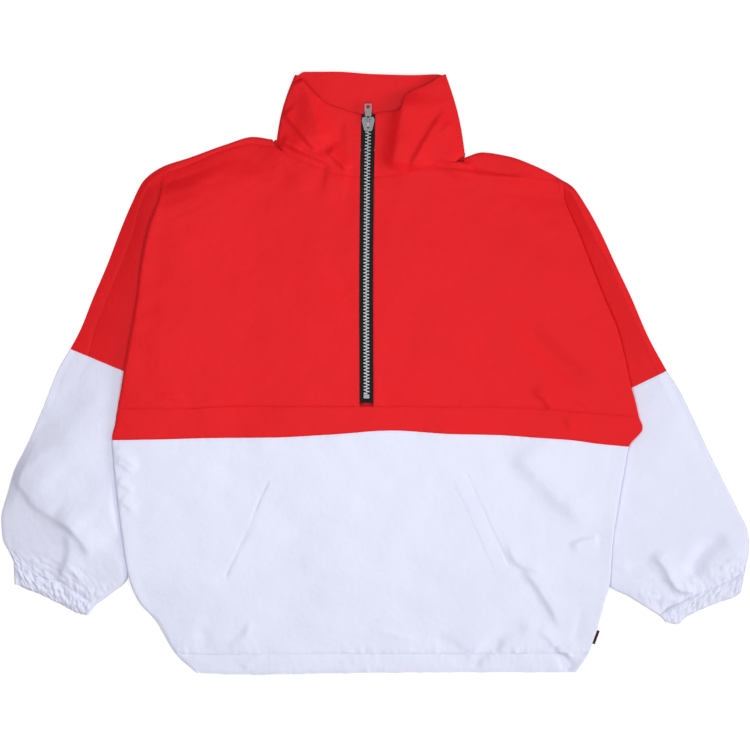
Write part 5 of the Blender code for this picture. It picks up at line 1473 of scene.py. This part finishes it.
def cloth_material(name, colour, roughness, specular, sheen, pitch=0.00045, uneven=0.02, crinkled=0.00045):
    made, tree, shader = new_material(name)
    made.diffuse_color = (*colour, 1.0)
    shader.inputs["Roughness"].default_value = roughness
    shader.inputs["Specular IOR Level"].default_value = specular
    shader.inputs["Sheen Weight"].default_value = sheen
    shader.inputs["Sheen Roughness"].default_value = 0.4
    coordinates = place_coordinates(tree)
    bump = weave(tree, coordinates, pitch, 0.00006)
    crinkle = tree.nodes.new("ShaderNodeTexNoise")
    crinkle.inputs["Scale"].default_value = 130.0
    crinkle.inputs["Detail"].default_value = 1.5
    tree.links.new(coordinates, crinkle.inputs["Vector"])
    uneven_face = tree.nodes.new("ShaderNodeBump")
    uneven_face.inputs["Strength"].default_value = 1.0
    uneven_face.inputs["Distance"].default_value = crinkled
    tree.links.new(crinkle.outputs["Fac"], uneven_face.inputs["Height"])
    tree.links.new(bump.outputs["Normal"], uneven_face.inputs["Normal"])
    tree.links.new(uneven_face.outputs["Normal"], shader.inputs["Normal"])
    patch = tree.nodes.new("ShaderNodeTexNoise")
    patch.inputs["Scale"].default_value = 28.0
    patch.inputs["Detail"].default_value = 3.0
    tree.links.new(coordinates, patch.inputs["Vector"])
    ramp = tree.nodes.new("ShaderNodeMapRange")
    ramp.inputs["From Min"].default_value = 0.3
    ramp.inputs["From Max"].default_value = 0.7
    ramp.inputs["To Min"].default_value = 1 - uneven
    ramp.inputs["To Max"].default_value = 1 + uneven
    tree.links.new(patch.outputs["Fac"], ramp.inputs["Value"])
    tint = tree.nodes.new("ShaderNodeVectorMath")
    tint.operation = "SCALE"
    tint.inputs[0].default_value = colour
    tree.links.new(ramp.outputs["Result"], tint.inputs["Scale"])
    tree.links.new(tint.outputs["Vector"], shader.inputs["Base Color"])
    return made


def metal_material(name, colour, roughness):
    made, tree, shader = new_material(name)
    made.diffuse_color = (*colour, 1.0)
    shader.inputs["Base Color"].default_value = (*colour, 1.0)
    shader.inputs["Metallic"].default_value = 1.0
    coordinates = place_coordinates(tree)
    grain = tree.nodes.new("ShaderNodeTexNoise")
    grain.inputs["Scale"].default_value = 900.0
    grain.inputs["Detail"].default_value = 2.0
    tree.links.new(coordinates, grain.inputs["Vector"])
    ramp = tree.nodes.new("ShaderNodeMapRange")
    ramp.inputs["To Min"].default_value = roughness - 0.08
    ramp.inputs["To Max"].default_value = roughness + 0.08
    tree.links.new(grain.outputs["Fac"], ramp.inputs["Value"])
    tree.links.new(ramp.outputs["Result"], shader.inputs["Roughness"])
    bump = tree.nodes.new("ShaderNodeBump")
    bump.inputs["Strength"].default_value = 0.15
    bump.inputs["Distance"].default_value = 0.0001
    tree.links.new(grain.outputs["Fac"], bump.inputs["Height"])
    tree.links.new(bump.outputs["Normal"], shader.inputs["Normal"])
    return made


materials = {
    "red_cloth": cloth_material("red_cloth_look", (0.765, 0.0075, 0.0125), 0.62, 0.16, 0.07, crinkled=0.0005),
    "white_cloth": cloth_material("white_cloth_look", (0.785, 0.797, 0.965), 0.62, 0.2, 0.10, uneven=0.008),
    "black_tape": cloth_material("black_tape_look", (0.012, 0.011, 0.012), 0.8, 0.15, 0.0, 0.0009, 0.15),
    "maroon_cloth": cloth_material("maroon_cloth_look", (0.055, 0.008, 0.014), 0.7, 0.2, 0.1, 0.0005, 0.1),
    "teeth": metal_material("teeth_look", (0.22, 0.235, 0.245), 0.4),
    "steel": metal_material("steel_look", (0.15, 0.155, 0.16), 0.42),
}

# ---------------------------------------------------------------- the garment
for side, node in ((-1, "front_upper_left"), (1, "front_upper_right")):
    front_upper(side, node)
front_panel("front_band", "red_cloth", 8, 10, BAND_TOP, BORDER, seed=121)
HEM_Z = 4.0  # height of the front at the hem's seam
front_panel(
    "front_lower",
    "white_cloth",
    10,
    17,
    BORDER,
    HEM_TOP,
    rest=lambda f: mix(FRONT_Z, HEM_Z, float(ease((f - 0.3) / 0.7))),
    seed=131,
    ruffle=(0.35, 0.75),
    valley=(0.0, 0.5),
)
front_panel(
    "hem_casing_front",
    "white_cloth",
    17,
    18,
    HEM_TOP,
    HEM_END,
    rest=lambda f: mix(HEM_Z, SLEEVE_Z + 0.3, f),
    seed=141,
    ruffle=(0.75, 0.5),
    valley=(0.5, 0.0),
    low_edge=1.0,
)
back_upper()
back_panel("back_lower", "white_cloth", 10, 17, BORDER, HEM_TOP)
back_panel("hem_casing_back", "white_cloth", 17, 18, HEM_TOP, HEM_END)
for side, tail in ((-1, "left"), (1, "right")):
    sleeve_lower(side, "sleeve_lower_" + tail)
    cuff(side, "cuff_" + tail)
collar()
front_tree = top_tree(["front_lower"])
for side, tail in ((-1, "left"), (1, "right")):
    welt(side, "pocket_welt_" + tail, front_tree)
teeth()
zip_cords()

all_tree = top_tree(
    ["front_upper_left", "front_upper_right", "front_band", "front_lower", "hem_casing_front", "back_upper"]
    + ["sleeve_lower_left", "sleeve_lower_right", "cuff_left", "cuff_right", "collar", "pocket_welt_left", "pocket_welt_right"]
)
fine = np.linspace(0, 1, 200)
red_lines, white_lines = [], []
for side in (-1, 1):
    ys = mix(236.5, -38.0, fine)
    red_lines.append((np.column_stack([zip_x(ys) + side * (ZIP_HALF + 1.6), ys]), 3.0, 2.1, 0.45))
    ys = mix(307.0, 238.0, fine)
    red_lines.append((np.column_stack([zip_x(ys) + side * (ZIP_HALF + 1.8), ys]), 3.0, 2.1, 0.45))
    ks = mix(0.1, 10.9, fine)
    red_lines.append((np.array([seam(side, k) - 1.5 * unit(outline(side, k) - seam(side, k)) for k in ks]), 3.0, 2.1, 0.4))
xs = mix(-306.0, 312.0, fine)
red_lines.append((np.column_stack([xs, at_x(BAND_TOP, xs) + 1.8]), 3.0, 2.1, 0.45))
xs = mix(-238.0, 254.0, fine)
white_lines.append((np.column_stack([xs, at_x(HEM_TOP, xs) + 1.2]), 3.2, 2.2, 0.45))
for side in (-1, 1):
    last = len(CUFF[side]) - 1
    n = mix(0.15, last - 0.15, fine)
    white_lines.append((cuff_point(side, n, np.array([[0.07]]))[0], 2.8, 1.9, 0.4))
    (ax, ay, bx, by), (cx, cy, dx, dy) = WELT[side]
    for g in (0.12, 0.94):
        t = fine[:, None]
        a, b = np.array([mix(ax, cx, g), mix(ay, cy, g)]), np.array([mix(bx, dx, g), mix(by, dy, g)])
        white_lines.append((mix(mix(a, b, 0.015), mix(a, b, 0.985), t), 3.0, 2.1, 0.32))
stitches("stitches_red", "red_cloth", red_lines, all_tree)
stitches("stitches_white", "white_cloth", white_lines, all_tree)

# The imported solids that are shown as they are.
for node, slot in (
    ("zip_tape_left", "black_tape"),
    ("zip_tape_right", "black_tape"),
    ("zip_slider", "steel"),
    ("zip_pull", "steel"),
    ("zip_bottom_stop", "steel"),
    ("side_label", "maroon_cloth"),
):
    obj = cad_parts[node]
    for index in range(len(obj.material_slots)):
        obj.material_slots[index].link = "OBJECT"
        obj.material_slots[index].material = materials[slot]
    if slot == "steel":
        bevel = obj.modifiers.new("bevel", "BEVEL")
        bevel.width = 0.00022
        bevel.segments = 2
        bevel.limit_method = "ANGLE"

# ---------------------------------------------------------------- floor glow, world strength and lamps
FLOOR_GLOW = 0.76
WORLD = 0.26
LIGHTS = (  # name, place, size, power, what it points at: metres and watts
    ("key", (4.72, -1.0, 1.95), (2.2, 1.7), 122.0, (0.0, 0.0, 0.0)),
    ("overhead", (0.0, 0.0, 1.3), (0.9, 0.9), 11.4, (0.0, 0.0, 0.0)),
)

# ---------------------------------------------------------------- floor, light and camera
floor_mesh = bpy.data.meshes.new("floor")
half = 6.0
floor_mesh.from_pydata([(-half, -half, -0.0004), (half, -half, -0.0004), (half, half, -0.0004), (-half, half, -0.0004)], [], [[0, 1, 2, 3]])
floor = bpy.data.objects.new("floor", floor_mesh)
bpy.context.scene.collection.objects.link(floor)
floor_look, floor_tree, floor_shader = new_material("floor_look")
floor_shader.inputs["Base Color"].default_value = (0.33, 0.33, 0.33, 1.0)
floor_shader.inputs["Roughness"].default_value = 0.9
floor_shader.inputs["Specular IOR Level"].default_value = 0.0
floor_shader.inputs["Emission Color"].default_value = (1.0, 1.0, 1.0, 1.0)
# The floor is seen as white, and its glow doesn't light the cloth from below.
seen = floor_tree.nodes.new("ShaderNodeLightPath")
glow = floor_tree.nodes.new("ShaderNodeMath")
glow.operation = "MULTIPLY"
glow.inputs[1].default_value = FLOOR_GLOW
floor_tree.links.new(seen.outputs["Is Camera Ray"], glow.inputs[0])
floor_tree.links.new(glow.outputs[0], floor_shader.inputs["Emission Strength"])
floor_mesh.materials.append(floor_look)

world = bpy.data.worlds.new("studio")
world.use_nodes = True
world.node_tree.nodes["Background"].inputs["Color"].default_value = (1.0, 1.0, 1.0, 1.0)
world.node_tree.nodes["Background"].inputs["Strength"].default_value = WORLD
bpy.context.scene.world = world


def area_light(name, place, size, power, target=(0.0, 0.0, 0.0)):
    data = bpy.data.lights.new(name, "AREA")
    data.shape = "RECTANGLE"
    data.size, data.size_y = size
    data.energy = power
    light = bpy.data.objects.new(name, data)
    light.location = place
    light.rotation_euler = (Vector(place) - Vector(target)).to_track_quat("Z", "Y").to_euler()
    bpy.context.scene.collection.objects.link(light)


for row in LIGHTS:
    area_light(*row)

view = bpy.data.cameras.new("camera")
view.lens = 120.0
view.sensor_width = 36.0
view.clip_end = 20.0
camera = bpy.data.objects.new("camera", view)
camera.location = (-0.0001, -0.00201, 3.0 + 0.004)
bpy.context.scene.collection.objects.link(camera)
bpy.context.scene.camera = camera
scene = bpy.context.scene
scene.view_settings.view_transform = "Standard"
scene.view_settings.look = "None"
scene.cycles.use_denoising = True

bpy.context.view_layer.update()
